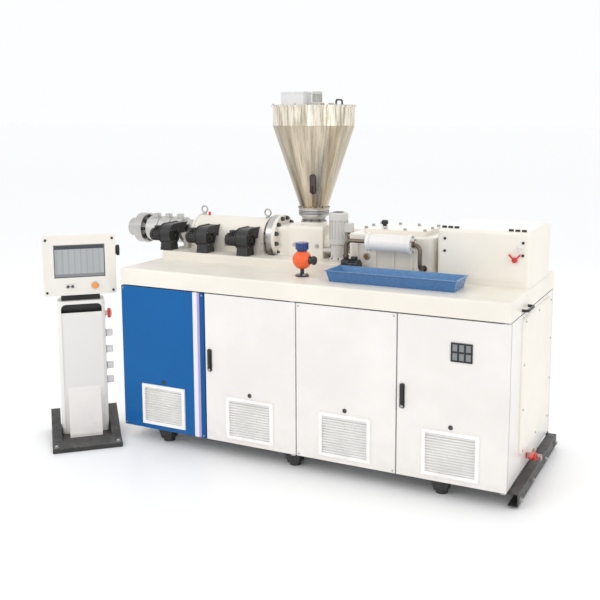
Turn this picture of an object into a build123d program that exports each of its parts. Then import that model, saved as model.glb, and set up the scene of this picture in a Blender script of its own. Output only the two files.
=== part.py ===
from build123d import *

# Conical twin-screw plastic extruder with its free-standing operator console.
# Lengths are in millimetres. X runs from the die end to the motor end, Y from the door
# side to the rear and Z up from the floor. Pieces are built with X = 0 at the cabinet's
# left end and Y = 0 on the door fronts, then shifted together so that the origin lies on
# the floor under the middle of the whole object.
import os

# Cabinet
bay_width = 670.0
bay_count = 4
cabinet_depth = 1150.0
plinth_height = 100.0
door_height = 980.0
fascia_height = 112.0
deck_radius = 14.0

# Sheet metal, frame bars and running gaps
sheet = 3.0
bar = 40.0
seam = 8.0
door_thickness = 22.0
door_set_off = 12.0
panel_edge_radius = 2.5
end_wall_depth = 20.0
end_wall_seam = 4.0
head_rail_height = 137.0
bed_beam_width = 60.0
bed_beam_spread = 340.0

# Door pivots
pivot_radius = 3.5
pivot_clearance = 0.15
pivot_edge_distance = 9.0
pivot_front_distance = 8.0
pivot_engagement = 24.0
pivot_bracket = 4.0
pivot_bracket_width = 30.0
pivot_bracket_leg = 26.0
pivot_bracket_inset = 4.0
pivot_boss_side = 16.0

# Vent grilles, handles and the indicator plate
grille_width = 345.0
grille_height = 280.0
grille_border = 22.0
grille_thickness = 12.0
grille_slats = 14
slat_bite = 1.0
slat_depth = 14.0
slat_thickness = 1.6
slat_angle = 38.0
grille_bottom = 34.0
vent_margin = 10.0
handle_height = 150.0
handle_width = 30.0
handle_thickness = 9.0
handle_lever_height = 104.0
handle_lever_width = 18.0
handle_lever_rise = 9.0
handle_edge_distance = 34.0
left_handle_z = 640.0
right_handle_z = 590.0
plate_width = 128.0
plate_height = 112.0
plate_thickness = 6.0
plate_z = 890.0
plate_edge_distance = 390.0
window_depth = 3.0
window_gap = 9.0

# Feet and the beam across the motor end
foot_shares = (0.112, 0.4795, 0.847)
foot_inset = 62.0
foot_top_width = 120.0
foot_top_depth = 100.0
foot_pad_radius = 38.0
foot_pad_height = 18.0
end_beam_width = 60.0
end_beam_height = 76.0
end_beam_floor_gap = 16.0
end_beam_inset = 40.0
beam_wall = 5.0

# End cover with its grip and the drain valve
cover_bulge = 16.0
cover_inset_front = 260.0
cover_inset_back = 120.0
cover_bottom = 230.0
cover_top = 1060.0
grip_length = 150.0
grip_z = 1110.0
grip_y = 330.0
grip_bar_radius = 9.0
grip_reach = 34.0
valve_pipe_radius = 17.0
valve_body_radius = 27.0
valve_y = 480.0
valve_z = 160.0
valve_reach = 96.0
valve_stem_rise = 14.0
valve_lever_length = 130.0
valve_lever_thickness = 8.0

# Barrel and what carries it
axis_y = 720.0
axis_height = 175.0
barrel_die_x = -330.0
barrel_length = 1180.0
barrel_die_radius = 72.0
barrel_feed_radius = 98.0
die_flange_radius = 112.0
die_flange_length = 38.0
feed_flange_radius = 152.0
feed_flange_length = 44.0
screw_die_radius = 25.5
screw_feed_radius = 52.5
screw_die_spread = 44.0
screw_feed_spread = 90.0
bore_overrun = 10.0
bench_height = 62.0
bench_half_width = 296.0
bench_start_x = 40.0
bench_end_gap = 30.0
flange_room = 6.0
saddle_thickness = 36.0
saddle_half_width = 120.0
front_saddle_x = 118.0

# Die adapter
adapter_length = 110.0
adapter_nose_radius = 68.0
adapter_flange_length = 30.0
adapter_taper_length = 24.0
adapter_bore_radius = 32.0
adapter_pcd = 178.0
adapter_bolt_count = 8
adapter_bolt_radius = 7.0
die_face_pcd = 104.0
die_face_bolt_radius = 5.5
die_face_bolt_depth = 32.0

# Heater band and barrel cover
band_start_x = -262.0
band_width = 96.0
band_count = 3
band_pitch = 104.0
band_thickness = 16.0
terminal_box_length = 40.0
terminal_box_width = 44.0
terminal_box_height = 22.0
terminal_box_radius = 5.0
band_bite = 4.0
clamp_angle = 20.0
clamp_gap = 5.0
clamp_lug_thickness = 6.0
clamp_lug_rise = 20.0
clamp_lug_width = 20.0
clamp_screw_radius = 4.0
cover_start_x = 178.0
cover_end_gap = 72.0
cover_half_width = 126.0
cover_clearance = 4.0
cover_rim_length = 16.0
cover_rim_rise = 5.0

# Blowers
first_blower_x = 52.0
blower_cover_shares = (0.3067, 0.8533)
blower_width = 96.0
blower_outlet_height = 66.0
blower_motor_radius = 46.0
blower_motor_length = 96.0
blower_axis_y = 492.0
blower_axis_rise = 104.0
blower_seat_gap = 0.4
scroll_radius = 58.0
scroll_step = 7.0
scroll_rim_rise = 5.0
scroll_rim_thickness = 5.0
inlet_radius = 38.0
inlet_wall = 6.0
inlet_reach = 8.0
inlet_depth = 16.0
inlet_hub_radius = 13.0
inlet_bar = 3.0
inlet_bar_count = 8
stand_plate = 6.0
stand_width = 84.0
stand_depth = 104.0
stand_top_depth = 64.0

# Motors with cooling fins
motor_fin_count = 16
motor_fin_rise = 6.0
motor_fin_thickness = 3.0
motor_shield_share = 0.10
motor_cowl_share = 0.26

# Lifting eyes
eye_ring_radius = 24.0
eye_wire_radius = 5.5
eye_stem_height = 14.0
eye_inset = 34.0

# Vent valve on the deck
valve_stand_x = 1259.0
valve_stand_y = 250.0
stand_flange_radius = 44.0
stand_flange_thickness = 8.0
stand_stem_radius = 13.0
stand_stem_height = 52.0
valve_bulb_radius = 62.0
valve_bulb_height = 110.0
valve_seat_radius = 30.0
valve_port_radius = 24.0
valve_port_reach = 34.0
valve_cap_radius = 42.0
valve_cap_height = 56.0
valve_cap_foot_radius = 30.0
valve_cap_foot_height = 16.0
valve_cap_flutes = 8
valve_cap_flute_radius = 9.0

# Feed throat, feeder and hopper
feed_distance = 260.0
throat_length = 150.0
throat_flange_length = 26.0
throat_end_flange_radius = 108.0
throat_housing_half_width = 104.0
throat_housing_rise = 92.0
throat_half_width = 128.0
throat_shoulder_radius = 30.0
throat_rise = 108.0
throat_neck_height = 12.0
throat_neck_wall = 28.0
collar_height = 48.0
collar_radius = 104.0
collar_foot_height = 8.0
frustum_height = 45.0
frustum_top_radius = 92.0
frustum_bottom_radius = 72.0
feed_bore_radius = 62.0
hopper_outlet_radius = 92.0
hopper_radius = 280.0
hopper_cone_height = 566.0
hopper_wall_height = 135.0
hopper_wall = 3.0
rim_overhang = 10.0
rim_height = 12.0
outlet_flange_thickness = 9.0
outlet_flange_reach = 6.0
sight_angle = -66.0
sight_height = 128.0
sight_width = 34.0
sight_centre_rise = 176.0
sight_proud = 4.0

# Hopper lid
lid_thickness = 3.0
flap_chord = 96.0
flap_gap = 5.0
lid_seat = 0.3
lid_hinge_radius = 4.0
lid_knuckle_wall = 3.5
lid_hinge_clearance = 0.2
lid_knuckle_length = 60.0
lid_knuckle_spread = 150.0
lid_knuckle_gap = 1.0
lid_hinge_rise = 1.0
lid_handle_span = 96.0
lid_handle_height = 34.0
lid_handle_radius = 6.0
lid_handle_x = 190.0
lid_box_size = (176.0, 132.0, 92.0)
lid_box_x = -134.0
lid_box_radius = 10.0
lid_box_lip_reach = 4.0
lid_box_lip_height = 6.0
lid_box_lip_drop = 12.0
stirrer_x = 26.0
stirrer_motor_radius = 34.0
stirrer_motor_height = 92.0
stirrer_flange_radius = 46.0
stirrer_flange_height = 14.0

# Feeder drive
feeder_drive_offset = 256.0
feeder_drive_y = 574.0
feeder_motor_radius = 64.0
feeder_motor_height = 196.0
feeder_housing_height = 128.0
feeder_case_radius = 52.0
feeder_flange_thickness = 13.0
feeder_shaft_radius = 16.0
feeder_shaft_y = 608.0
feeder_shaft_rise = 56.0
feeder_box_side = 58.0
feeder_box_reach = 34.0

# Gearbox, oil cooler, pump and pipes
lantern_length = 210.0
gearbox_length = 590.0
gearbox_half_depth = 225.0
gearbox_height = 262.0
gearbox_lid_height = 28.0
gearbox_radius = 36.0
gearbox_foot_height = 30.0
gearbox_foot_reach = 34.0
gearbox_rib_count = 4
gearbox_rib_inset = 72.0
gearbox_rib_end_inset = 144.0
gearbox_rib_thickness = 14.0
gearbox_rib_reach = 14.0
gearbox_rib_drop = 40.0
gearbox_cap_radius = 92.0
gearbox_cap_reach = 14.0
lantern_radius = 88.0
lantern_wall = 12.0
lantern_window_length = 110.0
lantern_window_half_height = 42.0
lantern_flange_radius = 106.0
lantern_flange_length = 22.0
screw_shank_radius = 26.0
cooler_radius = 52.0
cooler_length = 300.0
cooler_offset = 326.0
cooler_y = 416.0
cooler_rise = 226.0
cooler_head_radius = 60.0
cooler_head_length = 22.0
cooler_arm = 26.0
pump_radius = 40.0
pump_length = 120.0
pump_offset = 60.0
pump_rise = 66.0
pump_head_length = 44.0
pump_riser_radius = 17.0
pump_foot_length = 76.0
pump_foot_width = 46.0
pipe_radius = 13.0
pipe_bend = 40.0
pipe_collar_radius = 21.0
pipe_collar_length = 12.0
pipe_overhang = 50.0

# Motor hood
hood_gap = 36.0
hood_length = 578.0
hood_y = (452.0, 1010.0)
hood_height = 336.0
hood_radius = 22.0
hood_panel_margin = 34.0
hood_panel_thickness = 3.0
louvre_rows = 2
louvre_count = 9
louvre_width = 9.0
louvre_height = 84.0
louvre_depth = 6.0
louvre_pitch = 34.0
catch_length = 118.0
catch_width = 16.0
catch_height = 13.0
catch_count = 3
catch_share = 0.7
lever_rise = 168.0
lever_boss = 16.0
lever_arm = 34.0
lever_arm_radius = 5.5
lever_inset = 92.0

# Blue tray on the deck
tray_x = (1480.0, 2320.0)
tray_y = (140.0, 352.0)
tray_height = 72.0
tray_wall = 4.0
tray_taper = 16.0
tray_lip = 8.0

# Operator console
console_x = -241.0
console_y = -126.0
console_turn = 43.5
base_width = 455.0
base_depth = 500.0
base_thickness = 30.0
base_radius = 12.0
cheek_thickness = 62.0
cheek_rear_height = 150.0
cheek_run = 380.0
foot_cover_width = 216.0
foot_cover_height = 330.0
foot_cover_run = 80.0
foot_cover_edge = 20.0
column_set_back = 110.0
column_width = 316.0
column_depth = 170.0
column_top = 966.0
column_radius = 34.0
column_panel_width = 270.0
column_panel_depth = 8.0
column_panel_top = 884.0
column_recess_top = 944.0
column_recess_depth = 60.0
column_recess_radius = 34.0
neck_width = 250.0
neck_depth = 96.0
neck_radius = 19.0
box_width = 480.0
box_height = 408.0
box_depth = 150.0
box_bottom = 1006.0
box_radius = 16.0
box_front_radius = 5.0
box_front_depth = 64.0
box_rear_inset = 26.0
screen_width = 336.0
screen_height = 226.0
screen_rise = 122.0
screen_recess = 6.0
screen_glass = 4.0
button_drop = 62.0
start_button_x = 97.0
start_button_radius = 19.0
small_button_x = (-82.0, -52.0)
small_button_radius = 8.0
button_reach = 14.0
side_button_radius = 25.0
side_button_reach = 40.0
side_button_z = (375.0, 478.0, 595.0, 712.0)
stop_button_z = 852.0
stop_button_radius = 34.0
tilt_knob_radius = 31.0
tilt_knob_reach = 30.0
tilt_knob_drop = 120.0

# Sizes that follow from the ones above
cabinet_length = bay_count * bay_width
barrel_feed_x = barrel_die_x + barrel_length
cover_end_x = barrel_feed_x - cover_end_gap
hopper_x = barrel_feed_x + feed_distance
throat_end_x = hopper_x + throat_length
gearbox_start_x = throat_end_x + lantern_length
gearbox_end_x = gearbox_start_x + gearbox_length
bench_end_x = gearbox_start_x - bench_end_gap
hood_x = (gearbox_end_x + hood_gap, gearbox_end_x + hood_gap + hood_length)
feeder_drive_x = hopper_x + feeder_drive_offset
cooler_x = gearbox_start_x + cooler_offset
pump_x = gearbox_start_x + pump_offset
door_top = plinth_height + door_height
deck_z = door_top + seam + fascia_height
panel_depth = door_thickness + door_set_off
frame_front = panel_depth
frame_back = cabinet_depth - panel_depth
frame_left = end_wall_depth
frame_right = cabinet_length - end_wall_depth
frame_top = deck_z - sheet
post_bottom = plinth_height + bar
post_top = frame_top - head_rail_height
axis_z = deck_z + axis_height
bench_z = deck_z + bench_height
throat_top = axis_z + throat_rise + throat_neck_height
collar_z = throat_top + frustum_height
hopper_z = collar_z + collar_height
cone_top_z = hopper_z + hopper_cone_height
rim_z = cone_top_z + hopper_wall_height
lid_z = rim_z + lid_thickness
hinge_z = lid_z + lid_hinge_radius + lid_knuckle_wall + lid_hinge_rise
grille_opening_width = grille_width - 2 * grille_border
grille_opening_height = grille_height - 2 * grille_border
grille_mid_z = plinth_height + grille_bottom + grille_height / 2
pivot_hole_radius = pivot_radius + pivot_clearance


def block(x, y, z):
    """A box between two limits on each axis."""
    size = [high - low for low, high in (x, y, z)]
    middle = [(low + high) / 2 for low, high in (x, y, z)]
    return Pos(*middle) * Box(*size)


def rod(start, end, radius):
    """A round bar from one point to another."""
    start, end = Vector(*start), Vector(*end)
    along = end - start
    return Solid.make_cylinder(radius, along.length, Plane(start, z_dir=along))


def turned(points):
    """A ring or shaft turned about Z from points of radius and height."""
    outline = Polyline(*[(radius, 0, height) for radius, height in points], close=True)
    return revolve(make_face(outline), Axis.Z)


def along_barrel(shape, x):
    """Lays a piece turned about Z on the barrel's axis, its base at x."""
    return Pos(x, axis_y, axis_z) * Rot(0, 90, 0) * shape


def extruded_yz(points, x):
    """A prism between two X limits from an outline of Y and Z points."""
    outline = Polyline(*[(x[0], y, z) for y, z in points], close=True)
    return extrude(make_face(outline), x[1] - x[0], dir=(1, 0, 0))


def finned_motor(radius, length):
    """An electric motor standing on Z = 0: end shield, finned body and rounded fan cowl."""
    shield = motor_shield_share * length
    cowl = (1 - motor_cowl_share) * length
    core = radius - motor_fin_rise
    motor = Solid.make_cylinder(core, cowl)
    motor += Solid.make_cylinder(radius, shield)
    cap = Pos(0, 0, cowl) * Solid.make_cylinder(radius, length - cowl)
    motor += fillet(cap.edges().sort_by(Axis.Z)[-1], radius / 4)
    fin = Pos(core, 0, (shield + cowl) / 2) * Box(
        2 * motor_fin_rise, motor_fin_thickness, cowl - shield
    )
    return motor + [turn * fin for turn in PolarLocations(0, motor_fin_count)]


def bay_limits(bay):
    """The X limits of the door or panel of one bay, with half a seam at each joint."""
    left = bay * bay_width + (seam / 2 if bay > 0 else 0)
    right = (bay + 1) * bay_width - (seam / 2 if bay < bay_count - 1 else 0)
    return left, right


def vent_middle(x):
    return (x[0] + x[1]) / 2


# Cabinet frame


def make_base_frame():
    low = (plinth_height, post_bottom)
    ring = block((frame_left, frame_right), (frame_front, frame_back), low)
    ring -= block(
        (frame_left + bar, frame_right - bar),
        (frame_front + bar, frame_back - bar),
        low,
    )
    for bay in range(1, bay_count):
        middle = bay * bay_width
        ring += block(
            (middle - bar / 2, middle + bar / 2),
            (frame_front + bar, frame_back - bar),
            low,
        )
    return ring


def make_frame_posts():
    height = (post_bottom, post_top)
    posts = []
    for y in ((frame_front, frame_front + bar), (frame_back - bar, frame_back)):
        posts.append(block((frame_left, frame_left + bar), y, height))
        posts.append(block((frame_right - bar, frame_right), y, height))
        for bay in range(1, bay_count):
            middle = bay * bay_width
            posts.append(block((middle - bar / 2, middle + bar / 2), y, height))
    return Compound(posts)


def make_top_frame():
    high = (post_top, frame_top)
    ring = block((frame_left, frame_right), (frame_front, frame_back), high)
    ring -= block(
        (frame_left + bar, frame_right - bar),
        (frame_front + bar, frame_back - bar),
        high,
    )
    for side in (-1, 1):
        middle = axis_y + side * bed_beam_spread / 2
        ring += block(
            (frame_left + bar, frame_right - bar),
            (middle - bed_beam_width / 2, middle + bed_beam_width / 2),
            high,
        )
    return ring


def make_floor_and_partitions():
    """The sheet floor with an upright sheet on it behind each post pair."""
    y = (frame_front + bar, frame_back - bar)
    lining = block((frame_left, frame_right), y, (post_bottom, post_bottom + sheet))
    for bay in range(1, bay_count):
        middle = bay * bay_width
        x = (middle - sheet / 2, middle + sheet / 2)
        lining += block(x, y, (post_bottom, post_top))
    return lining


def make_end_wall(x, inner_sign):
    """A pan-shaped sheet over one end of the frame."""
    y = (frame_front + end_wall_seam, frame_back - end_wall_seam)
    z = (plinth_height, door_top)
    wall = block((x, x + inner_sign * end_wall_depth)[::inner_sign], y, z)
    faces = wall.faces().sort_by(Axis.X)
    outer = faces[0] if inner_sign > 0 else faces[-1]
    wall = fillet(outer.edges(), panel_edge_radius)
    hollow = (x + inner_sign * sheet, x + inner_sign * end_wall_depth)[::inner_sign]
    return wall - block(
        hollow, (y[0] + sheet, y[1] - sheet), (z[0] + sheet, z[1] - sheet)
    )


# Doors and panels


def make_pan(x, depth):
    """A folded sheet door or panel with a vent cut through it."""
    z = (plinth_height, door_top)
    pan = block(x, (0, depth), z)
    front = pan.faces().sort_by(Axis.Y)[0]
    pan = fillet(front.edges(), panel_edge_radius)
    pan -= block(
        (x[0] + sheet, x[1] - sheet), (sheet, depth), (z[0] + sheet, z[1] - sheet)
    )
    half_width = grille_opening_width / 2 + vent_margin
    half_height = grille_opening_height / 2 + vent_margin
    middle = vent_middle(x)
    return pan - block(
        (middle - half_width, middle + half_width),
        (0, sheet),
        (grille_mid_z - half_height, grille_mid_z + half_height),
    )


def pivot_x(x):
    return x[1] - pivot_edge_distance


def make_door(x):
    """A pan with a drilled boss for its pivot pin in the top and bottom corners."""
    door = make_pan(x, door_thickness)
    centre = pivot_x(x)
    boss_x = (x[1] - sheet - pivot_boss_side, x[1] - sheet)
    boss_y = (sheet, sheet + pivot_boss_side)
    boss_length = pivot_engagement + sheet
    for z in (
        (plinth_height + sheet, plinth_height + sheet + boss_length),
        (door_top - sheet - boss_length, door_top - sheet),
    ):
        door += block(boss_x, boss_y, z)
    for z in (
        (plinth_height, plinth_height + pivot_engagement),
        (door_top - pivot_engagement, door_top),
    ):
        door -= rod(
            (centre, pivot_front_distance, z[0]),
            (centre, pivot_front_distance, z[1]),
            pivot_hole_radius,
        )
    return door


def make_door_pivots(x):
    """The bent brackets on the frame whose pins carry one door."""
    centre = pivot_x(x)
    end = x[1] - pivot_bracket_inset
    bracket_x = (end - pivot_bracket_width, end)
    y = (0, frame_front)
    leg_y = (frame_front - pivot_bracket, frame_front)
    room = (seam - pivot_bracket) / 2
    upper_z = (door_top + room, door_top + room + pivot_bracket)
    lower_z = (plinth_height - room - pivot_bracket, plinth_height - room)
    upper = block(bracket_x, y, upper_z)
    upper += block(bracket_x, leg_y, (upper_z[0], upper_z[0] + pivot_bracket_leg))
    upper += rod(
        (centre, pivot_front_distance, upper_z[0]),
        (centre, pivot_front_distance, door_top - pivot_engagement + room),
        pivot_radius,
    )
    lower = block(bracket_x, y, lower_z)
    lower += block(bracket_x, leg_y, (lower_z[0], lower_z[0] + pivot_bracket_leg))
    lower += rod(
        (centre, pivot_front_distance, lower_z[1]),
        (centre, pivot_front_distance, plinth_height + pivot_engagement - room),
        pivot_radius,
    )
    return [upper, lower]


def make_grille(middle):
    """A square frame with slanted slats, seated on the front of a door or panel."""
    half_width = grille_width / 2
    half_height = grille_height / 2
    frame = block(
        (middle - half_width, middle + half_width),
        (-grille_thickness, 0),
        (grille_mid_z - half_height, grille_mid_z + half_height),
    )
    frame = fillet(frame.faces().sort_by(Axis.Y)[0].edges(), panel_edge_radius)
    opening_width = grille_opening_width / 2
    opening_height = grille_opening_height / 2
    frame -= block(
        (middle - opening_width, middle + opening_width),
        (-grille_thickness, 0),
        (grille_mid_z - opening_height, grille_mid_z + opening_height),
    )
    pitch = grille_opening_height / grille_slats
    for row in range(grille_slats):
        z = grille_mid_z - opening_height + pitch * (row + 1 / 2)
        slat = Box(grille_opening_width + 2 * slat_bite, slat_thickness, slat_depth)
        slat = Pos(middle, -grille_thickness / 2, z) * Rot(slat_angle, 0, 0) * slat
        frame += slat
    return frame


def make_handle(x, z):
    """A black lift-out handle on a rounded plate."""
    plate = block(
        (x - handle_width / 2, x + handle_width / 2),
        (-handle_thickness, 0),
        (z - handle_height / 2, z + handle_height / 2),
    )
    plate = fillet(plate.edges().filter_by(Axis.Y), handle_width / 3)
    lever = block(
        (x - handle_lever_width / 2, x + handle_lever_width / 2),
        (-handle_thickness - handle_lever_rise, -handle_thickness),
        (z - handle_lever_height / 2, z + handle_lever_height / 2),
    )
    lever = fillet(lever.faces().sort_by(Axis.Y)[0].edges(), handle_lever_rise / 3)
    return plate + lever


def make_indicator_plate(x):
    """A small plate with two rows of three sunk windows."""
    left = x[0] + plate_edge_distance - plate_width / 2
    bottom = plate_z - plate_height / 2
    plate = block(
        (left, left + plate_width),
        (-plate_thickness, 0),
        (bottom, bottom + plate_height),
    )
    columns, rows = 3, 2
    window_width = (plate_width - window_gap * (columns + 1)) / columns
    window_height = (plate_height - window_gap * (rows + 1)) / rows
    for column in range(columns):
        for row in range(rows):
            window_x = left + window_gap + column * (window_width + window_gap)
            window_z = bottom + window_gap + row * (window_height + window_gap)
            plate -= block(
                (window_x, window_x + window_width),
                (-plate_thickness, window_depth - plate_thickness),
                (window_z, window_z + window_height),
            )
    return plate


def turned_to_rear(shape):
    """The same piece on the rear side of the cabinet."""
    return Pos(cabinet_length, cabinet_depth, 0) * Rot(0, 0, 180) * shape


def make_top_cover():
    """The deck: a folded sheet lid whose skirt is the fascia over the doors."""

    def lid(inset, top, radius):
        body = block(
            (inset, cabinet_length - inset),
            (inset, cabinet_depth - inset),
            (door_top + seam, top),
        )
        return fillet(body.faces().sort_by(Axis.Z)[-1].edges(), radius)

    return lid(0, deck_z, deck_radius) - lid(sheet, frame_top, deck_radius - sheet)


# Feet and the motor end


def make_feet():
    """Tapered machine mounts with round pads, two at each place along the cabinet."""
    feet = []
    for x in [share * cabinet_length for share in foot_shares]:
        for y in (frame_front + foot_inset, frame_back - foot_inset):
            top = Pos(0, 0, plinth_height) * Rectangle(foot_top_width, foot_top_depth)
            waist = Pos(0, 0, foot_pad_height) * Rectangle(
                2 * foot_pad_radius, 2 * foot_pad_radius
            )
            pad = Solid.make_cylinder(foot_pad_radius, foot_pad_height)
            feet.append(Pos(x, y, 0) * (loft([waist, top]) + pad))
    return Compound(feet)


def make_end_beam():
    """The black channel across the motor end, bolted to the cabinet's base frame."""
    x = (cabinet_length, cabinet_length + end_beam_width)
    y = (end_beam_inset, cabinet_depth - end_beam_inset)
    z = (end_beam_floor_gap, end_beam_floor_gap + end_beam_height)
    beam = block(x, y, z)
    beam -= block(
        (x[0], x[1] - beam_wall), y, (z[0] + beam_wall, z[1] - beam_wall)
    )
    for side in (frame_front, frame_back - bar):
        arm_z = (z[1] - beam_wall, plinth_height)
        beam += block((frame_right - bar, x[0] + beam_wall), (side, side + bar), arm_z)
    return beam


def make_end_cover():
    """A shallow pressed cover on the motor end wall."""
    x = (cabinet_length, cabinet_length + cover_bulge)
    y = (cover_inset_front, cabinet_depth - cover_inset_back)
    cover = block(x, y, (cover_bottom, cover_top))
    cover = fillet(cover.edges().filter_by(Axis.X), 3 * cover_bulge)
    outer = cover.faces().sort_by(Axis.X)[-1]
    return chamfer(outer.edges(), cover_bulge / 2)


def make_end_grip():
    """A black bow handle on the skirt of the deck at the motor end."""
    x = cabinet_length
    low = (x, grip_y - grip_length / 2, grip_z)
    high = (x, grip_y + grip_length / 2, grip_z)
    out = (grip_reach, 0, 0)
    path = FilletPolyline(
        low,
        tuple(a + b for a, b in zip(low, out)),
        tuple(a + b for a, b in zip(high, out)),
        high,
        radius=grip_reach / 2,
    )
    section = Plane(low, z_dir=(1, 0, 0)) * Circle(grip_bar_radius)
    return sweep(section, path)


def make_drain_valve():
    """A red ball valve on a short pipe from the end wall."""
    x = cabinet_length
    pipe = rod((x, valve_y, valve_z), (x + valve_reach, valve_y, valve_z), valve_pipe_radius)
    middle = x + valve_reach / 2
    body = Pos(middle, valve_y, valve_z) * Sphere(valve_body_radius)
    stem_top = valve_z + valve_body_radius + valve_stem_rise
    stem = rod((middle, valve_y, valve_z), (middle, valve_y, stem_top), valve_pipe_radius / 2)
    lever = block(
        (middle - valve_pipe_radius / 2, middle + valve_pipe_radius / 2),
        (valve_y - valve_lever_length, valve_y + valve_pipe_radius),
        (stem_top - valve_lever_thickness, stem_top),
    )
    return pipe + body + stem + lever


# Barrel


def make_bench():
    """The low stand along the barrel, cut through where the feed flanges hang below it."""
    bench = block(
        (bench_start_x, bench_end_x),
        (axis_y - bench_half_width, axis_y + bench_half_width),
        (deck_z, bench_z),
    )
    bench = fillet(bench.edges().filter_by(Axis.X).group_by(Axis.Z)[-1], deck_radius / 2)
    room = feed_flange_radius + flange_room
    bench -= block(
        (
            barrel_feed_x - feed_flange_length - flange_room,
            barrel_feed_x + throat_flange_length + flange_room,
        ),
        (axis_y - room, axis_y + room),
        (deck_z, bench_z),
    )
    return bench + make_saddle()


def make_saddle():
    """An upright plate on the bench whose round seat carries the barrel."""
    x = (front_saddle_x - saddle_thickness / 2, front_saddle_x + saddle_thickness / 2)
    plate = block(
        x, (axis_y - saddle_half_width, axis_y + saddle_half_width), (bench_z, axis_z)
    )
    return plate - barrel_cone(x)


def barrel_cone(x):
    """The barrel's outer surface between two X limits."""
    return along_barrel(
        turned(
            [
                (0, 0),
                (barrel_radius_at(x[0]), 0),
                (barrel_radius_at(x[1]), x[1] - x[0]),
                (0, x[1] - x[0]),
            ]
        ),
        x[0],
    )


def barrel_radius_at(x):
    share = (x - barrel_die_x) / barrel_length
    return barrel_die_radius + share * (barrel_feed_radius - barrel_die_radius)


def make_screw_bores():
    """Two tapered bores side by side that come together towards the die."""
    bores = []
    for side in (-1, 1):
        die_end = Vector(barrel_die_x, axis_y + side * screw_die_spread / 2, axis_z)
        feed_end = Vector(barrel_feed_x, axis_y + side * screw_feed_spread / 2, axis_z)
        along = feed_end - die_end
        growth = (screw_feed_radius - screw_die_radius) / along.length * bore_overrun
        start = die_end - along.normalized() * bore_overrun
        bore = Solid.make_cone(
            screw_die_radius - growth,
            screw_feed_radius + growth,
            along.length + 2 * bore_overrun,
            Plane(start, z_dir=along),
        )
        bores.append(bore)
    return bores


def make_barrel():
    """The tapered barrel with a flange at each end and its two screw bores."""
    flange_start = barrel_length - feed_flange_length
    barrel = along_barrel(
        turned(
            [
                (0, 0),
                (die_flange_radius, 0),
                (die_flange_radius, die_flange_length),
                (barrel_radius_at(barrel_die_x + die_flange_length), die_flange_length),
                (barrel_radius_at(barrel_feed_x - feed_flange_length), flange_start),
                (feed_flange_radius, flange_start),
                (feed_flange_radius, barrel_length),
                (0, barrel_length),
            ]
        ),
        barrel_die_x,
    )
    return barrel - make_screw_bores()


def make_adapter():
    """The reducing flange between barrel and die, open along its middle."""
    length = adapter_length
    adapter = turned(
        [
            (0, 0),
            (adapter_nose_radius, 0),
            (adapter_nose_radius, length - adapter_flange_length - adapter_taper_length),
            (die_flange_radius, length - adapter_flange_length),
            (die_flange_radius, length),
            (0, length),
        ]
    )
    adapter -= turned(
        [
            (0, 0),
            (adapter_bore_radius, 0),
            (adapter_bore_radius, length / 2),
            (screw_die_radius + screw_die_spread / 2, length),
            (0, length),
        ]
    )
    for hole in PolarLocations(adapter_pcd / 2, adapter_bolt_count):
        adapter -= hole * Pos(0, 0, length - adapter_flange_length / 2) * Cylinder(
            adapter_bolt_radius, 2 * adapter_flange_length
        )
    for hole in PolarLocations(die_face_pcd / 2, adapter_bolt_count):
        adapter -= hole * Pos(0, 0, die_face_bolt_depth / 2) * Cylinder(
            die_face_bolt_radius, die_face_bolt_depth
        )
    return along_barrel(adapter, barrel_die_x - adapter_length)


def make_heater_bands():
    """Round heater bands that clasp the bare stretch of the barrel, each with its clamp."""
    bands = []
    for turn in range(band_count):
        start = band_start_x + turn * band_pitch
        end = start + band_width
        outer = barrel_radius_at(end) + band_thickness
        band = turned(
            [
                (barrel_radius_at(start), 0),
                (outer, 0),
                (outer, band_width),
                (barrel_radius_at(end), band_width),
            ]
        )
        at_axis = Pos((start + end) / 2, axis_y, axis_z)
        fittings = at_axis * (make_terminal_box(outer) + make_clamp(outer))
        bands.append(along_barrel(band, start) + fittings)
    return Compound(bands)


def make_terminal_box(outer):
    """The connection box on top of a band."""
    low = outer - band_bite
    box = block(
        (-terminal_box_length / 2, terminal_box_length / 2),
        (-terminal_box_width / 2, terminal_box_width / 2),
        (low, low + terminal_box_height + band_bite),
    )
    return fillet(box.edges().filter_by(Axis.Z), terminal_box_radius)


def make_clamp(outer):
    """Two lugs with a screw that draw a band's ends together, low on the front."""
    length = clamp_lug_rise + band_bite
    lugs = []
    for side in (-1, 1):
        lug = Box(clamp_lug_width, clamp_lug_thickness, length)
        offset_y = side * (clamp_gap + clamp_lug_thickness) / 2
        lugs.append(Pos(0, offset_y, outer - band_bite + length / 2) * lug)
    middle = outer + clamp_lug_rise / 2
    screw = rod((0, -clamp_lug_width / 2, middle), (0, clamp_lug_width / 2, middle), clamp_screw_radius)
    return Rot(90 + clamp_angle, 0, 0) * (lugs[0] + lugs[1] + screw)


def cover_arch(half_width, x):
    """The round-topped form of the barrel cover between two X limits."""
    body = block(x, (axis_y - half_width, axis_y + half_width), (bench_z, axis_z))
    return body + rod((x[0], axis_y, axis_z), (x[1], axis_y, axis_z), half_width) - block(
        x, (axis_y - 2 * half_width, axis_y + 2 * half_width), (bench_z - 2 * half_width, bench_z)
    )


def make_barrel_cover():
    """A round-topped sheet cover over the heated zones, closed and rimmed at both ends."""
    width = cover_half_width
    cover = cover_arch(width, (cover_start_x, cover_end_x))
    for start in (cover_start_x, cover_end_x - cover_rim_length):
        cover += cover_arch(width + cover_rim_rise, (start, start + cover_rim_length))
    inside = (cover_start_x + sheet, cover_end_x - sheet)
    cover -= cover_arch(width - sheet, inside)
    return cover - rod(
        (cover_start_x, axis_y, axis_z),
        (cover_end_x, axis_y, axis_z),
        barrel_feed_radius + cover_clearance,
    )


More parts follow.
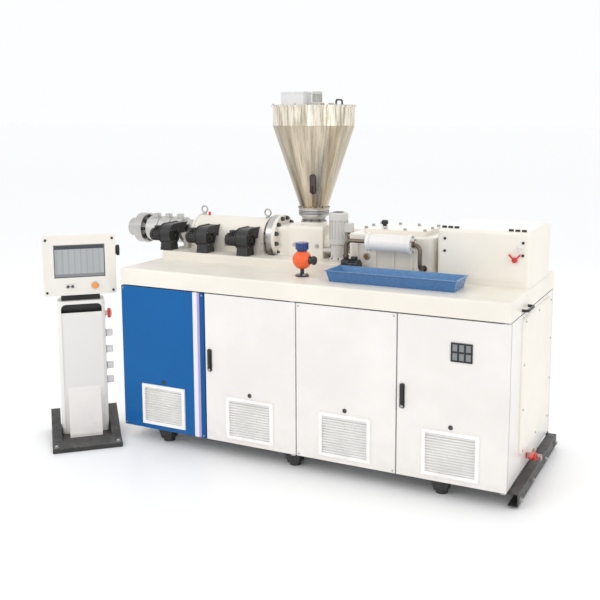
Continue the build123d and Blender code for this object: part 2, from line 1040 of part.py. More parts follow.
def scroll_face(margin):
    """The scroll's side: quarter arcs of growing radius and a straight outlet, by a margin."""
    first = scroll_radius + margin
    second = first + scroll_step
    third = second + scroll_step
    top = scroll_step + third
    lip = top - blower_outlet_height - 2 * margin
    mouth = axis_y - blower_axis_y
    arcs = [
        CenterArc((0, 0), first, 270, 90),
        CenterArc((0, scroll_step), second, 180, 90),
        CenterArc((scroll_step, scroll_step), third, 90, 90),
    ]
    straight = Polyline((scroll_step, top), (mouth, top), (mouth, lip), (first, lip), (first, 0))
    return make_face(Wire([*arcs, *straight.edges()]))


def make_inlet():
    """The air inlet on the scroll's side: a ring round a hub that thin bars hold."""
    ring = turned(
        [
            (inlet_radius, -inlet_depth),
            (inlet_radius + inlet_wall, -inlet_depth),
            (inlet_radius + inlet_wall, inlet_reach),
            (inlet_radius, inlet_reach),
        ]
    )
    hub = Pos(0, 0, -inlet_depth) * Solid.make_cylinder(inlet_hub_radius, inlet_depth + inlet_reach)
    middle = (inlet_radius + inlet_hub_radius) / 2
    bar_length = inlet_radius - inlet_hub_radius + 2 * inlet_bar
    spoke = Pos(middle, 0, inlet_reach - inlet_bar) * Box(bar_length, inlet_bar, inlet_bar)
    return ring + hub + [turn * spoke for turn in PolarLocations(0, inlet_bar_count)]


def make_blower_stand():
    """A folded stand on the bench: a foot plate, a front plate and two leaning cheeks."""
    half = stand_width / 2
    depth = stand_depth / 2
    top = blower_axis_rise
    foot = block((-half, half), (-depth, depth), (0, stand_plate))
    lean = (stand_depth - stand_top_depth) / 2
    cheek = [(-depth, 0), (depth, 0), (depth - lean, top), (lean - depth, top)]
    front = [
        (-depth, 0),
        (stand_plate - depth, 0),
        (lean + stand_plate - depth, top),
        (lean - depth, top),
    ]
    stand = foot + extruded_yz(front, (-half, half))
    for x in ((-half, stand_plate - half), (half - stand_plate, half)):
        stand += extruded_yz(cheek, x)
    return stand


def make_blower(x, seat):
    """A scroll fan on its stand, with a finned motor on its side, blowing at the barrel."""
    z = bench_z + blower_axis_rise
    half = blower_width / 2
    side = Plane.YZ.offset(-half)
    blower = extrude(side * scroll_face(0), blower_width)
    rim = extrude(side * scroll_face(scroll_rim_rise), scroll_rim_thickness)
    blower += [rim, Pos(blower_width - scroll_rim_thickness, 0, 0) * rim]
    pit = Solid.make_cylinder(inlet_radius, inlet_depth)
    blower -= Pos(half - inlet_depth, 0, 0) * Rot(0, 90, 0) * pit
    blower += Pos(half, 0, 0) * Rot(0, 90, 0) * make_inlet()
    motor = finned_motor(blower_motor_radius, blower_motor_length)
    blower += Pos(-half, 0, 0) * Rot(0, -90, 0) * motor
    blower = Pos(x, blower_axis_y, z) * blower
    stand = Pos(x, blower_axis_y, bench_z) * make_blower_stand()
    pit_room = rod((x, blower_axis_y, z), (x + half, blower_axis_y, z), scroll_radius)
    return blower + (stand - pit_room) - seat


def make_blowers():
    """The blowers along the barrel; each mouth fits what it blows at, a hair away from it."""
    reach = (barrel_die_x, barrel_feed_x)
    band_end = band_start_x + (band_count - 1) * band_pitch + band_width
    band_radius = barrel_radius_at(band_end) + band_thickness + blower_seat_gap
    bare = rod((reach[0], axis_y, axis_z), (reach[1], axis_y, axis_z), band_radius)
    covered = cover_arch(cover_half_width + blower_seat_gap, reach)
    blowers = [make_blower(first_blower_x, bare)]
    for share in blower_cover_shares:
        x = cover_start_x + share * (cover_end_x - cover_start_x)
        blowers.append(make_blower(x, covered))
    return blowers


def make_lifting_eyes():
    """Rings on short stems, one over each end of the barrel cover."""
    top = axis_z + cover_half_width
    centre = top + eye_stem_height + eye_ring_radius
    eyes = []
    for x in (cover_start_x + eye_inset, cover_end_x - eye_inset):
        ring = Rot(90, 0, 0) * Torus(eye_ring_radius, eye_wire_radius)
        stem = rod((x, axis_y, top), (x, axis_y, top + eye_stem_height), 2 * eye_wire_radius)
        eyes.append(Pos(x, axis_y, centre) * ring + stem)
    return Compound(eyes)


# Vent valve


def make_valve_body():
    """A bulb-shaped valve body with a side port, on a flanged stem."""
    top = stand_stem_height + valve_bulb_height
    middle = stand_stem_height + valve_bulb_height / 2
    outline = [
        Polyline(
            (valve_seat_radius, 0, top),
            (0, 0, top),
            (0, 0, 0),
            (stand_flange_radius, 0, 0),
            (stand_flange_radius, 0, stand_flange_thickness),
            (stand_stem_radius, 0, stand_flange_thickness),
            (stand_stem_radius, 0, stand_stem_height),
            (valve_seat_radius, 0, stand_stem_height),
        ),
        ThreePointArc(
            (valve_seat_radius, 0, stand_stem_height),
            (valve_bulb_radius, 0, middle),
            (valve_seat_radius, 0, top),
        ),
    ]
    edges = [edge for piece in outline for edge in piece.edges()]
    body = revolve(make_face(Wire(edges)), Axis.Z)
    body += rod((0, 0, middle), (valve_bulb_radius + valve_port_reach, 0, middle), valve_port_radius)
    return Pos(valve_stand_x, valve_stand_y, deck_z) * body



def make_valve_cap():
    """A fluted hand cap on top of the valve."""
    base = deck_z + stand_stem_height + valve_bulb_height
    cap = turned(
        [
            (0, 0),
            (valve_cap_foot_radius, 0),
            (valve_cap_radius, valve_cap_foot_height),
            (valve_cap_radius, valve_cap_height),
            (0, valve_cap_height),
        ]
    )
    flute = Solid.make_cylinder(valve_cap_flute_radius, valve_cap_height)
    for place in PolarLocations(valve_cap_radius + valve_cap_flute_radius / 2, valve_cap_flutes):
        cap -= place * flute
    return Pos(valve_stand_x, valve_stand_y, base) * cap


# Feed throat, feeder and hopper


def make_throat():
    """The feed section: flanged housing, block with the feed bore, and end flange."""
    block_start = hopper_x - throat_half_width
    block_end = hopper_x + throat_half_width
    floor = block((barrel_feed_x, throat_end_x), (0, cabinet_depth), (0, bench_z))
    side = throat_housing_half_width
    housing = block(
        (barrel_feed_x, block_start),
        (axis_y - side, axis_y + side),
        (bench_z, axis_z + throat_housing_rise),
    )
    shoulders = housing.edges().filter_by(Axis.X).group_by(Axis.Z)[-1]
    housing = fillet(shoulders, throat_shoulder_radius)
    flange_end = barrel_feed_x + throat_flange_length
    housing += rod((barrel_feed_x, axis_y, axis_z), (flange_end, axis_y, axis_z), feed_flange_radius)
    body = block(
        (block_start, block_end),
        (axis_y - throat_half_width, axis_y + throat_half_width),
        (bench_z, axis_z + throat_rise),
    )
    shoulders = body.edges().filter_by(Axis.X).group_by(Axis.Z)[-1]
    body = fillet(shoulders, throat_shoulder_radius)
    neck_radius = feed_bore_radius + throat_neck_wall
    body += rod((hopper_x, axis_y, axis_z), (hopper_x, axis_y, throat_top), neck_radius)
    body -= rod((hopper_x, axis_y, axis_z), (hopper_x, axis_y, throat_top), feed_bore_radius)
    end_flange = rod(
        (block_end, axis_y, axis_z), (throat_end_x, axis_y, axis_z), throat_end_flange_radius
    )
    return Compound([housing, body, end_flange - floor])


def make_feeder_collar():
    """The dark funnel on the feed throat and the pale collar on top of it."""
    outlet = hopper_outlet_radius - hopper_wall
    funnel = turned(
        [
            (feed_bore_radius, 0),
            (feed_bore_radius + throat_neck_wall, 0),
            (feed_bore_radius + throat_neck_wall, collar_foot_height),
            (frustum_bottom_radius, collar_foot_height),
            (frustum_top_radius, frustum_height),
            (outlet, frustum_height),
        ]
    )
    collar = turned(
        [
            (outlet, frustum_height),
            (collar_radius, frustum_height),
            (collar_radius, frustum_height + collar_height),
            (outlet, frustum_height + collar_height),
        ]
    )
    return Pos(hopper_x, axis_y, throat_top) * Compound([funnel, collar])


def hopper_profile(offset):
    """Radius and height points of the hopper's surface, moved inwards by an offset."""
    return [
        (hopper_outlet_radius - offset, 0),
        (hopper_radius - offset, hopper_cone_height),
        (hopper_radius - offset, hopper_cone_height + hopper_wall_height),
    ]


def make_hopper():
    """A thin stainless hopper: cone, short cylinder, rolled rim and outlet flange."""
    outer = hopper_profile(0)
    inner = hopper_profile(hopper_wall)
    top = hopper_cone_height + hopper_wall_height
    slope = (hopper_radius - hopper_outlet_radius) / hopper_cone_height
    flange_radius = collar_radius + outlet_flange_reach
    flange_joint = hopper_outlet_radius + slope * outlet_flange_thickness
    points = [
        outer[0],
        (flange_radius, 0),
        (flange_radius, outlet_flange_thickness),
        (flange_joint, outlet_flange_thickness),
        outer[1],
        (hopper_radius, top - rim_height),
        (hopper_radius + rim_overhang, top - rim_height),
        (hopper_radius + rim_overhang, top),
        inner[2],
        inner[1],
        inner[0],
    ]
    shell = Pos(hopper_x, axis_y, hopper_z) * turned(points)
    return shell - sight_prism()


def sight_prism():
    """The slot through the cone that the sight glass fills."""
    outline = Plane.YZ * Rot(0, 0, 90) * SlotOverall(sight_height, sight_width)
    slot = extrude(outline, hopper_radius)
    z = hopper_z + sight_centre_rise
    return Pos(hopper_x, axis_y, z) * Rot(0, 0, sight_angle) * slot


def make_sight_glass():
    """Dark glass that fills the slot, standing a little proud of the cone."""
    wall = turned(
        [
            (hopper_outlet_radius - hopper_wall, 0),
            (hopper_outlet_radius + sight_proud, 0),
            (hopper_radius + sight_proud, hopper_cone_height),
            (hopper_radius - hopper_wall, hopper_cone_height),
        ]
    )
    wall = Pos(hopper_x, axis_y, hopper_z) * wall
    return wall & sight_prism()


# Hopper lid


def hinge_x():
    return hopper_x + flap_chord


def lid_disc():
    return Pos(hopper_x, axis_y, rim_z) * Cylinder(
        hopper_radius + rim_overhang, lid_thickness, align=(Align.CENTER,) * 2 + (Align.MIN,)
    )


def knuckle(y, outer_x, tongue_z):
    """A hinge barrel with a tongue down to its leaf."""
    outer = lid_hinge_radius + lid_knuckle_wall
    low, high = y
    body = rod((hinge_x(), low, hinge_z), (hinge_x(), high, hinge_z), outer)
    tongue_x = sorted((hinge_x(), outer_x))
    body += block(tongue_x, y, tongue_z)
    return body


def knuckle_middles():
    return [axis_y + side * lid_knuckle_spread / 2 for side in (-1, 1)]


def make_fixed_lid():
    """The part of the lid that stays on the rim, with the outer hinge knuckles."""
    edge = hinge_x() - flap_gap
    keep = block(
        (hopper_x - 2 * hopper_radius, edge),
        (axis_y - 2 * hopper_radius, axis_y + 2 * hopper_radius),
        (rim_z, lid_z),
    )
    lid = lid_disc() & keep
    outer = lid_hinge_radius + lid_knuckle_wall
    third = lid_knuckle_length / 3
    for middle in knuckle_middles():
        for side in (-1, 1):
            near = middle + side * (third / 2 + lid_knuckle_gap)
            far = middle + side * (third / 2 + lid_knuckle_gap + third)
            y = tuple(sorted((near, far)))
            leaf = block((edge - 2 * outer, edge), y, (lid_z, lid_z + lid_thickness))
            lid += leaf
            lid += knuckle(y, edge - outer, (lid_z, lid_z + 2 * lid_thickness))
        half = lid_knuckle_length / 2 + 2 * lid_knuckle_gap
        lid += rod(
            (hinge_x(), middle - half, hinge_z),
            (hinge_x(), middle + half, hinge_z),
            lid_hinge_radius,
        )
    return lid


def make_lid_flap():
    """The hinged part of the lid, with the middle hinge knuckles."""
    edge = hinge_x() + flap_gap
    rise = lid_seat
    keep = block(
        (edge, hopper_x + 2 * hopper_radius),
        (axis_y - 2 * hopper_radius, axis_y + 2 * hopper_radius),
        (rim_z, lid_z),
    )
    flap = Pos(0, 0, rise) * (lid_disc() & keep)
    third = lid_knuckle_length / 3
    outer = lid_hinge_radius + lid_knuckle_wall
    for middle in knuckle_middles():
        y = (middle - third / 2, middle + third / 2)
        leaf_z = (lid_z + rise, lid_z + rise + lid_thickness)
        flap += block((edge, edge + 2 * outer), y, leaf_z)
        flap += knuckle(y, edge + outer, (lid_z + rise, lid_z + 2 * lid_thickness))
        flap -= rod(
            (hinge_x(), y[0], hinge_z),
            (hinge_x(), y[1], hinge_z),
            lid_hinge_radius + lid_hinge_clearance,
        )
    return flap


def make_lid_handle():
    """A black bow handle across the flap."""
    z = lid_z + lid_seat
    x = hopper_x + lid_handle_x
    half = lid_handle_span / 2
    path = FilletPolyline(
        (x, axis_y - half, z),
        (x, axis_y - half, z + lid_handle_height),
        (x, axis_y + half, z + lid_handle_height),
        (x, axis_y + half, z),
        radius=lid_handle_height / 2,
    )
    section = Plane((x, axis_y - half, z), z_dir=(0, 0, 1)) * Circle(lid_handle_radius)
    return sweep(section, path)


def make_lid_box():
    """A small housing with a lipped cover on the fixed lid."""
    length, width, height = lid_box_size
    x = hopper_x + lid_box_x
    base = Pos(x, axis_y, lid_z + height / 2) * Box(length, width, height)
    base = fillet(base.edges().filter_by(Axis.Z), lid_box_radius)
    lip = Pos(x, axis_y, lid_z + height - lid_box_lip_drop + lid_box_lip_height / 2) * Box(
        length + 2 * lid_box_lip_reach, width + 2 * lid_box_lip_reach, lid_box_lip_height
    )
    return base + fillet(lip.edges().filter_by(Axis.Z), lid_box_radius + lid_box_lip_reach)


def make_stirrer_motor():
    """A small upright motor on a flange in the middle of the lid."""
    flange = Solid.make_cylinder(stirrer_flange_radius, stirrer_flange_height)
    motor = finned_motor(stirrer_motor_radius, stirrer_motor_height - stirrer_flange_height)
    motor = flange + Pos(0, 0, stirrer_flange_height) * motor
    return Pos(hopper_x + stirrer_x, axis_y, lid_z) * motor


# Feeder drive, gearbox and oil system


def make_feeder_drive():
    """An upright finned motor on a round gear case, with its shaft tube to the feed throat."""
    height = feeder_housing_height
    flange = feeder_flange_thickness
    case = turned(
        [
            (0, 0),
            (feeder_motor_radius, 0),
            (feeder_motor_radius, flange),
            (feeder_case_radius, 2 * flange),
            (feeder_case_radius, height - 2 * flange),
            (feeder_motor_radius, height - flange),
            (feeder_motor_radius, height),
            (0, height),
        ]
    )
    drive = case + Pos(0, 0, height) * finned_motor(feeder_motor_radius, feeder_motor_height)
    box_z = height + feeder_motor_height / 2
    drive += block(
        (0, feeder_motor_radius + feeder_box_reach),
        (-feeder_box_side / 2, feeder_box_side / 2),
        (box_z - feeder_box_side / 2, box_z + feeder_box_side / 2),
    )
    drive = Pos(feeder_drive_x, feeder_drive_y, bench_z) * drive
    z = bench_z + feeder_shaft_rise
    return drive + rod(
        (hopper_x + throat_half_width, feeder_shaft_y, z),
        (feeder_drive_x, feeder_shaft_y, z),
        feeder_shaft_radius,
    )


def make_gearbox():
    """The cast gearbox: a ribbed body on a flanged foot, with a lantern to the throat."""
    x = (gearbox_start_x, gearbox_end_x)
    y = (axis_y - gearbox_half_depth, axis_y + gearbox_half_depth)
    top = deck_z + gearbox_height
    body = block(x, y, (deck_z, top))
    body = fillet(body.edges().filter_by(Axis.Z), gearbox_radius)
    body = fillet(body.faces().sort_by(Axis.Z)[-1].edges(), gearbox_radius / 3)
    body += block(
        (x[0] + gearbox_radius, x[1] - gearbox_radius),
        (y[0] - gearbox_foot_reach, y[1] + gearbox_foot_reach),
        (deck_z, deck_z + gearbox_foot_height),
    )
    inset = 2 * gearbox_radius
    lid = block(
        (x[0] + inset, x[1] - inset),
        (y[0] + inset, y[1] - inset),
        (top, top + gearbox_lid_height),
    )
    body += fillet(lid.edges().filter_by(Axis.Z), gearbox_radius)
    rib_span = x[1] - x[0] - gearbox_rib_inset - gearbox_rib_end_inset
    pitch = rib_span / (gearbox_rib_count - 1)
    rib_z = (deck_z, top - gearbox_rib_drop)
    rib_y = (y[0] - gearbox_rib_reach, y[1] + gearbox_rib_reach)
    for rib in range(gearbox_rib_count):
        middle = x[0] + gearbox_rib_inset + rib * pitch
        half = gearbox_rib_thickness / 2
        body += block((middle - half, middle + half), rib_y, rib_z)
    cap_end = x[1] + gearbox_cap_reach
    body += rod((x[1], axis_y, axis_z), (cap_end, axis_y, axis_z), gearbox_cap_radius)
    return body + make_lantern()


def make_lantern():
    """The flanged tube to the feed throat, open at its sides where the screw shanks show."""
    start = throat_end_x
    end = gearbox_start_x + gearbox_radius
    middle = (start + gearbox_start_x) / 2
    inside = lantern_radius - lantern_wall
    lantern = rod((start, axis_y, axis_z), (end, axis_y, axis_z), lantern_radius)
    flange_end = start + lantern_flange_length
    lantern += rod((start, axis_y, axis_z), (flange_end, axis_y, axis_z), lantern_flange_radius)
    lantern -= rod((start, axis_y, axis_z), (gearbox_start_x, axis_y, axis_z), inside)
    half = lantern_window_length / 2
    height = lantern_window_half_height
    lantern -= block(
        (middle - half, middle + half),
        (axis_y - 2 * lantern_radius, axis_y + 2 * lantern_radius),
        (axis_z - height, axis_z + height),
    )
    for side in (-1, 1):
        shank_y = axis_y + side * screw_feed_spread / 2
        lantern += rod((start, shank_y, axis_z), (end, shank_y, axis_z), screw_shank_radius)
    return lantern


def make_oil_cooler():
    """A round cooler along the gearbox's front, on two arms."""
    x = (cooler_x - cooler_length / 2, cooler_x + cooler_length / 2)
    z = deck_z + cooler_rise
    shell = turned(
        [
            (0, 0),
            (cooler_head_radius, 0),
            (cooler_head_radius, cooler_head_length),
            (cooler_radius, cooler_head_length),
            (cooler_radius, cooler_length - cooler_head_length),
            (cooler_head_radius, cooler_length - cooler_head_length),
            (cooler_head_radius, cooler_length),
            (0, cooler_length),
        ]
    )
    cooler = Pos(x[0], cooler_y, z) * Rot(0, 90, 0) * shell
    for middle in (x[0] + cooler_length / 4, x[1] - cooler_length / 4):
        cooler += block(
            (middle - cooler_arm / 2, middle + cooler_arm / 2),
            (cooler_y, axis_y - gearbox_half_depth),
            (z - cooler_arm / 2, z + cooler_arm / 2),
        )
    return cooler


def make_oil_pump():
    """The oil pump with its finned motor, on a foot on the deck."""
    z = deck_z + pump_rise
    start = pump_x - pump_length / 2
    head_end = start + pump_head_length
    side = pump_radius - motor_fin_rise
    pump = block((start, head_end), (cooler_y - side, cooler_y + side), (z - side, z + side))
    pump = fillet(pump.edges().filter_by(Axis.X), side / 2)
    motor = finned_motor(pump_radius, pump_length - pump_head_length)
    pump += Pos(head_end, cooler_y, z) * Rot(0, 90, 0) * motor
    top = z + pump_radius + pipe_radius
    riser_x = pump_inlet_x()
    pump += rod((riser_x, cooler_y, z), (riser_x, cooler_y, top), pump_riser_radius)
    return pump + block(
        (pump_x - pump_foot_length / 2, pump_x + pump_foot_length / 2),
        (cooler_y - pump_foot_width / 2, cooler_y + pump_foot_width / 2),
        (deck_z, z - side / 2),
    )


def pump_inlet_x():
    """Where the pipe stands on the pump's head."""
    return pump_x - pump_length / 2 + pump_head_length / 2


def make_oil_pipes():
    """The two bent pipes, pump to cooler and cooler to gearbox, with a collar at each end."""
    cooler_z = deck_z + cooler_rise
    left = cooler_x - cooler_length / 2
    right = cooler_x + cooler_length / 2
    pump_top = deck_z + pump_rise + pump_radius + pipe_radius
    beyond = right + pipe_overhang
    start_x = pump_inlet_x()
    routes = [
        [(start_x, cooler_y, pump_top), (start_x, cooler_y, cooler_z), (left, cooler_y, cooler_z)],
        [
            (right, cooler_y, cooler_z),
            (beyond, cooler_y, cooler_z),
            (beyond, cooler_y, deck_z + pump_rise),
            (beyond, axis_y - gearbox_half_depth, deck_z + pump_rise),
        ],
    ]
    pipes = []
    for route in routes:
        path = FilletPolyline(*route, radius=pipe_bend)
        along = Vector(*route[1]) - Vector(*route[0])
        pipe = sweep(Plane(route[0], z_dir=along) * Circle(pipe_radius), path)
        for end, near in ((route[0], route[1]), (route[-1], route[-2])):
            inward = (Vector(*near) - Vector(*end)).normalized() * pipe_collar_length
            pipe += rod(end, tuple(Vector(*end) + inward), pipe_collar_radius)
        pipes.append(pipe)
    return Compound(pipes)


def make_motor_hood():
    """The sheet hood over motor and coupling, with a front panel and louvres at the rear."""
    hood = block(hood_x, hood_y, (deck_z, deck_z + hood_height))
    upright = hood.edges().filter_by(Axis.Z)
    top = hood.faces().sort_by(Axis.Z)[-1].edges()
    hood = fillet(upright + top, hood_radius)
    margin = hood_panel_margin
    panel = block(
        (hood_x[0] + margin, hood_x[1] - margin),
        (hood_y[0] - hood_panel_thickness, hood_y[0]),
        (deck_z + margin, deck_z + hood_height - margin),
    )
    hood += fillet(panel.edges().filter_by(Axis.Y), margin / 4)
    middle_x = sum(hood_x) / 2
    middle_z = deck_z + hood_height / 2
    slot = Box(louvre_width, 2 * louvre_depth, louvre_height)
    slots = []
    for row in range(louvre_rows):
        z = middle_z + (row - (louvre_rows - 1) / 2) * (louvre_height + louvre_pitch)
        for column in range(louvre_count):
            x = middle_x + (column - (louvre_count - 1) / 2) * louvre_pitch
            slots.append(Pos(x, hood_y[1], z) * slot)
    return hood - slots


def make_hood_catches():
    """Rows of small black catches along the hood's top front edge, at both ends."""
    z = deck_z + hood_height
    y = (hood_y[0] + hood_radius, hood_y[0] + hood_radius + catch_width)
    step = catch_length / catch_count
    catches = []
    for start in (hood_x[0] + hood_radius, hood_x[1] - hood_radius - catch_length):
        for place in range(catch_count):
            left = start + place * step
            catches.append(block((left, left + catch_share * step), y, (z, z + catch_height)))
    return Compound(catches)


def make_hood_lever():
    """A red V-shaped lever on a round boss on the hood's front panel."""
    x = hood_x[1] - lever_inset
    z = deck_z + lever_rise
    y = hood_y[0] - hood_panel_thickness
    lever = rod((x, y, z), (x, y - lever_boss, z), lever_boss)
    for side in (-1, 1):
        arm_end = (x + side * lever_arm, y - lever_boss, z + lever_arm)
        lever += rod((x, y - lever_boss, z), arm_end, lever_arm_radius)
    return lever


# Tray


def make_tray():
    """A shallow tapered tray with a flat lip, open at the top."""
    middle = (sum(tray_x) / 2, sum(tray_y) / 2)
    length = tray_x[1] - tray_x[0]
    width = tray_y[1] - tray_y[0]
    low = Pos(*middle, deck_z) * Rectangle(length - 2 * tray_taper, width - 2 * tray_taper)
    high = Pos(*middle, deck_z + tray_height) * Rectangle(length, width)
    tray = loft([low, high])
    top = tray.faces().sort_by(Axis.Z)[-1]
    tray = offset(tray, -tray_wall, openings=top, kind=Kind.INTERSECTION)
    rim = Rectangle(length + 2 * tray_lip, width + 2 * tray_lip) - Rectangle(
        length - tray_wall, width - tray_wall
    )
    return tray + Pos(*middle, deck_z + tray_height - tray_wall) * extrude(rim, tray_wall)


# Console


def on_console(shape):
    return Pos(console_x, console_y, 0) * Rot(0, 0, console_turn) * shape


def on_column(shape):
    """A piece drawn round the column's middle, which stands behind the foot plate's middle."""
    return on_console(Pos(0, column_set_back, 0) * shape)


def make_console_base():
    """The dark foot plate with a wedge-shaped cheek along each side."""
    half = base_width / 2
    depth = base_depth / 2
    plate = block((-half, half), (-depth, depth), (0, base_thickness))
    plate = fillet(plate.edges().filter_by(Axis.Z), base_radius)
    profile = [
        (depth, base_thickness),
        (depth - cheek_run, base_thickness),
        (depth, cheek_rear_height),
    ]
    for x in ((-half, cheek_thickness - half), (half - cheek_thickness, half)):
        plate += extruded_yz(profile, x)
    return plate


def make_console_column():
    """The upright column with a sunk front panel, a deep recess above it and the neck."""
    half = column_width / 2
    front = -column_depth / 2
    column = block((-half, half), (front, -front), (base_thickness, column_top))
    column = fillet(column.edges().filter_by(Axis.Z), column_radius)
    column = fillet(column.faces().sort_by(Axis.Z)[-1].edges(), column_radius / 4)
    half = column_panel_width / 2
    for low, depth in (
        (base_thickness, column_panel_depth),
        (column_panel_top, column_recess_depth),
    ):
        hollow = block((-half, half), (front, front + depth), (low, column_recess_top))
        corners = hollow.edges().filter_by(Axis.Y).group_by(Axis.Z)[-1]
        column -= fillet(corners, column_recess_radius)
    neck = block(
        (-neck_width / 2, neck_width / 2), (-neck_depth / 2, neck_depth / 2), (column_top, box_bottom)
    )
    return column + fillet(neck.edges().filter_by(Axis.Z), neck_radius)


def make_console_foot_cover():
    """The white sloping plate in front of the column's sunk panel."""
    front = column_panel_depth - column_depth / 2
    toe = -column_depth / 2 - foot_cover_run
    profile = [
        (front, base_thickness),
        (toe, base_thickness),
        (toe, base_thickness + foot_cover_edge),
        (front, base_thickness + foot_cover_height),
    ]
    return extruded_yz(profile, (-foot_cover_width / 2, foot_cover_width / 2))


def make_console_box():
    """The control housing: a front frame with a sunk screen field and a narrower rear shell."""
    front = -box_depth / 2
    z = (box_bottom, box_bottom + box_height)

    def shell(inset, y):
        half = box_width / 2 - inset
        body = block((-half, half), y, (z[0] + inset, z[1] - inset))
        return fillet(body.edges().filter_by(Axis.Y), box_radius)

    face = shell(0, (front, front + box_front_depth))
    face = fillet(face.faces().sort_by(Axis.Y)[0].edges(), box_front_radius)
    box = face + shell(box_rear_inset, (front + box_front_depth, -front))
    neck = block(
        (-neck_width / 2, neck_width / 2),
        (-neck_depth / 2, neck_depth / 2),
        (box_bottom, box_bottom + 2 * box_rear_inset),
    )
    box += fillet(neck.edges().filter_by(Axis.Z), neck_radius)
    return box - block(
        (-screen_width / 2, screen_width / 2),
        (front, front + screen_recess),
        (z[0] + screen_rise, z[0] + screen_rise + screen_height),
    )


def make_console_screen():
    front = screen_recess - box_depth / 2
    return block(
        (-screen_width / 2, screen_width / 2),
        (front - screen_glass, front),
        (box_bottom + screen_rise, box_bottom + screen_rise + screen_height),
    )


def make_console_buttons():
    """The large round start button and two small ones under the screen."""
    front = -box_depth / 2
    z = box_bottom + button_drop
    sizes = [(start_button_x, start_button_radius)]
    sizes += [(x, small_button_radius) for x in small_button_x]
    return [rod((x, front, z), (x, front - button_reach, z), radius) for x, radius in sizes]


def make_side_controls():
    """Knobs on the column's right side, the stop button over them and the tilt knob."""
    side = column_width / 2
    knobs = []
    for z in side_button_z:
        knobs.append(rod((side, 0, z), (side + side_button_reach, 0, z), side_button_radius))
    neck = (side + side_button_reach / 2, 0, stop_button_z)
    stop = rod((side, 0, stop_button_z), neck, stop_button_radius / 2)
    stop += rod(neck, (side + side_button_reach, 0, stop_button_z), stop_button_radius)
    knobs.append(stop)
    side = box_width / 2
    z = box_bottom + box_height - tilt_knob_drop
    knobs.append(rod((side, 0, z), (side + tilt_knob_reach, 0, z), tilt_knob_radius))
    return knobs


bays = [bay_limits(bay) for bay in range(bay_count)]
blue_bay, left_bay, centre_bay, right_bay = bays

door_bays = (left_bay, right_bay)
end_walls = [make_end_wall(0, 1), make_end_wall(cabinet_length, -1)]
fixed_grilles = [make_grille(vent_middle(x)) for x in (blue_bay, centre_bay)]
fixed_grilles += [turned_to_rear(make_grille(vent_middle(x))) for x in bays]
rear_panels = [turned_to_rear(make_pan(x, panel_depth)) for x in bays]
door_pivots = [bracket for x in door_bays for bracket in make_door_pivots(x)]

parts = {
    "base_frame": make_base_frame(),
    "frame_posts": make_frame_posts(),
    "top_frame": make_top_frame(),
    "floor_and_partitions": make_floor_and_partitions(),
    "end_walls": Compound(end_walls),
    "blue_panel": make_pan(blue_bay, panel_depth),
    "centre_panel": make_pan(centre_bay, panel_depth),
    "rear_panels": Compound(rear_panels),
    "fixed_grilles": Compound(fixed_grilles),
    "door_pivots": Compound(door_pivots),
    "indicator_plate": make_indicator_plate(right_bay),
    "top_cover": make_top_cover(),
    "levelling_feet": make_feet(),
    "end_beam": make_end_beam(),
    "end_cover": make_end_cover(),
    "end_grip": make_end_grip(),
    "drain_valve": make_drain_valve(),
    "barrel_bench": make_bench(),
    "barrel": make_barrel(),
    "die_adapter": make_adapter(),
    "heater_bands": make_heater_bands(),
    "barrel_cover": make_barrel_cover(),
    "lifting_eyes": make_lifting_eyes(),
    "vent_valve": make_valve_body(),
    "valve_cap": make_valve_cap(),
    "feed_throat": make_throat(),
    "feeder_collar": make_feeder_collar(),
    "hopper": make_hopper(),
    "sight_glass": make_sight_glass(),
    "fixed_lid": make_fixed_lid(),
    "lid_flap": make_lid_flap(),
    "lid_handle": make_lid_handle(),
    "lid_box": make_lid_box(),
    "stirrer_motor": make_stirrer_motor(),
    "feeder_drive": make_feeder_drive(),
    "gearbox": make_gearbox(),
    "oil_cooler": make_oil_cooler(),
    "oil_pump": make_oil_pump(),
    "oil_pipes": make_oil_pipes(),
    "motor_hood": make_motor_hood(),
    "hood_catches": make_hood_catches(),
    "hood_lever": make_hood_lever(),
    "blue_tray": make_tray(),
    "console_base": on_console(make_console_base()),
    "console_foot_cover": on_column(make_console_foot_cover()),
    "console_column": on_column(make_console_column()),
    "console_box": on_column(make_console_box()),
    "console_screen": on_column(make_console_screen()),
    "console_controls": on_column(Compound(make_console_buttons() + make_side_controls())),
}
for side, x, handle_z in (
    ("left", left_bay, left_handle_z),
    ("right", right_bay, right_handle_z),
):
    parts[f"{side}_door"] = make_door(x)
    parts[f"{side}_door_grille"] = make_grille(vent_middle(x))
    parts[f"{side}_door_handle"] = make_handle(x[0] + handle_edge_distance, handle_z)
for number, blower in enumerate(make_blowers(), start=1):
    parts[f"blower_{number}"] = blower

whole = Compound(list(parts.values())).bounding_box()
to_origin = Pos(-whole.center().X, -whole.center().Y, -whole.min.Z)

os.makedirs("parts", exist_ok=True)
for name, shape in parts.items():
    export_step(to_origin * shape, f"parts/{name}.step")
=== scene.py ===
"""Looks for a conical twin-screw plastic extruder and its operator console.

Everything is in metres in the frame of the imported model. Places on the machine are given from
the left front corner of its cabinet at floor level: X to the right, Y to the rear, Z up.
"""

import math

import bpy
from mathutils import Matrix, Vector


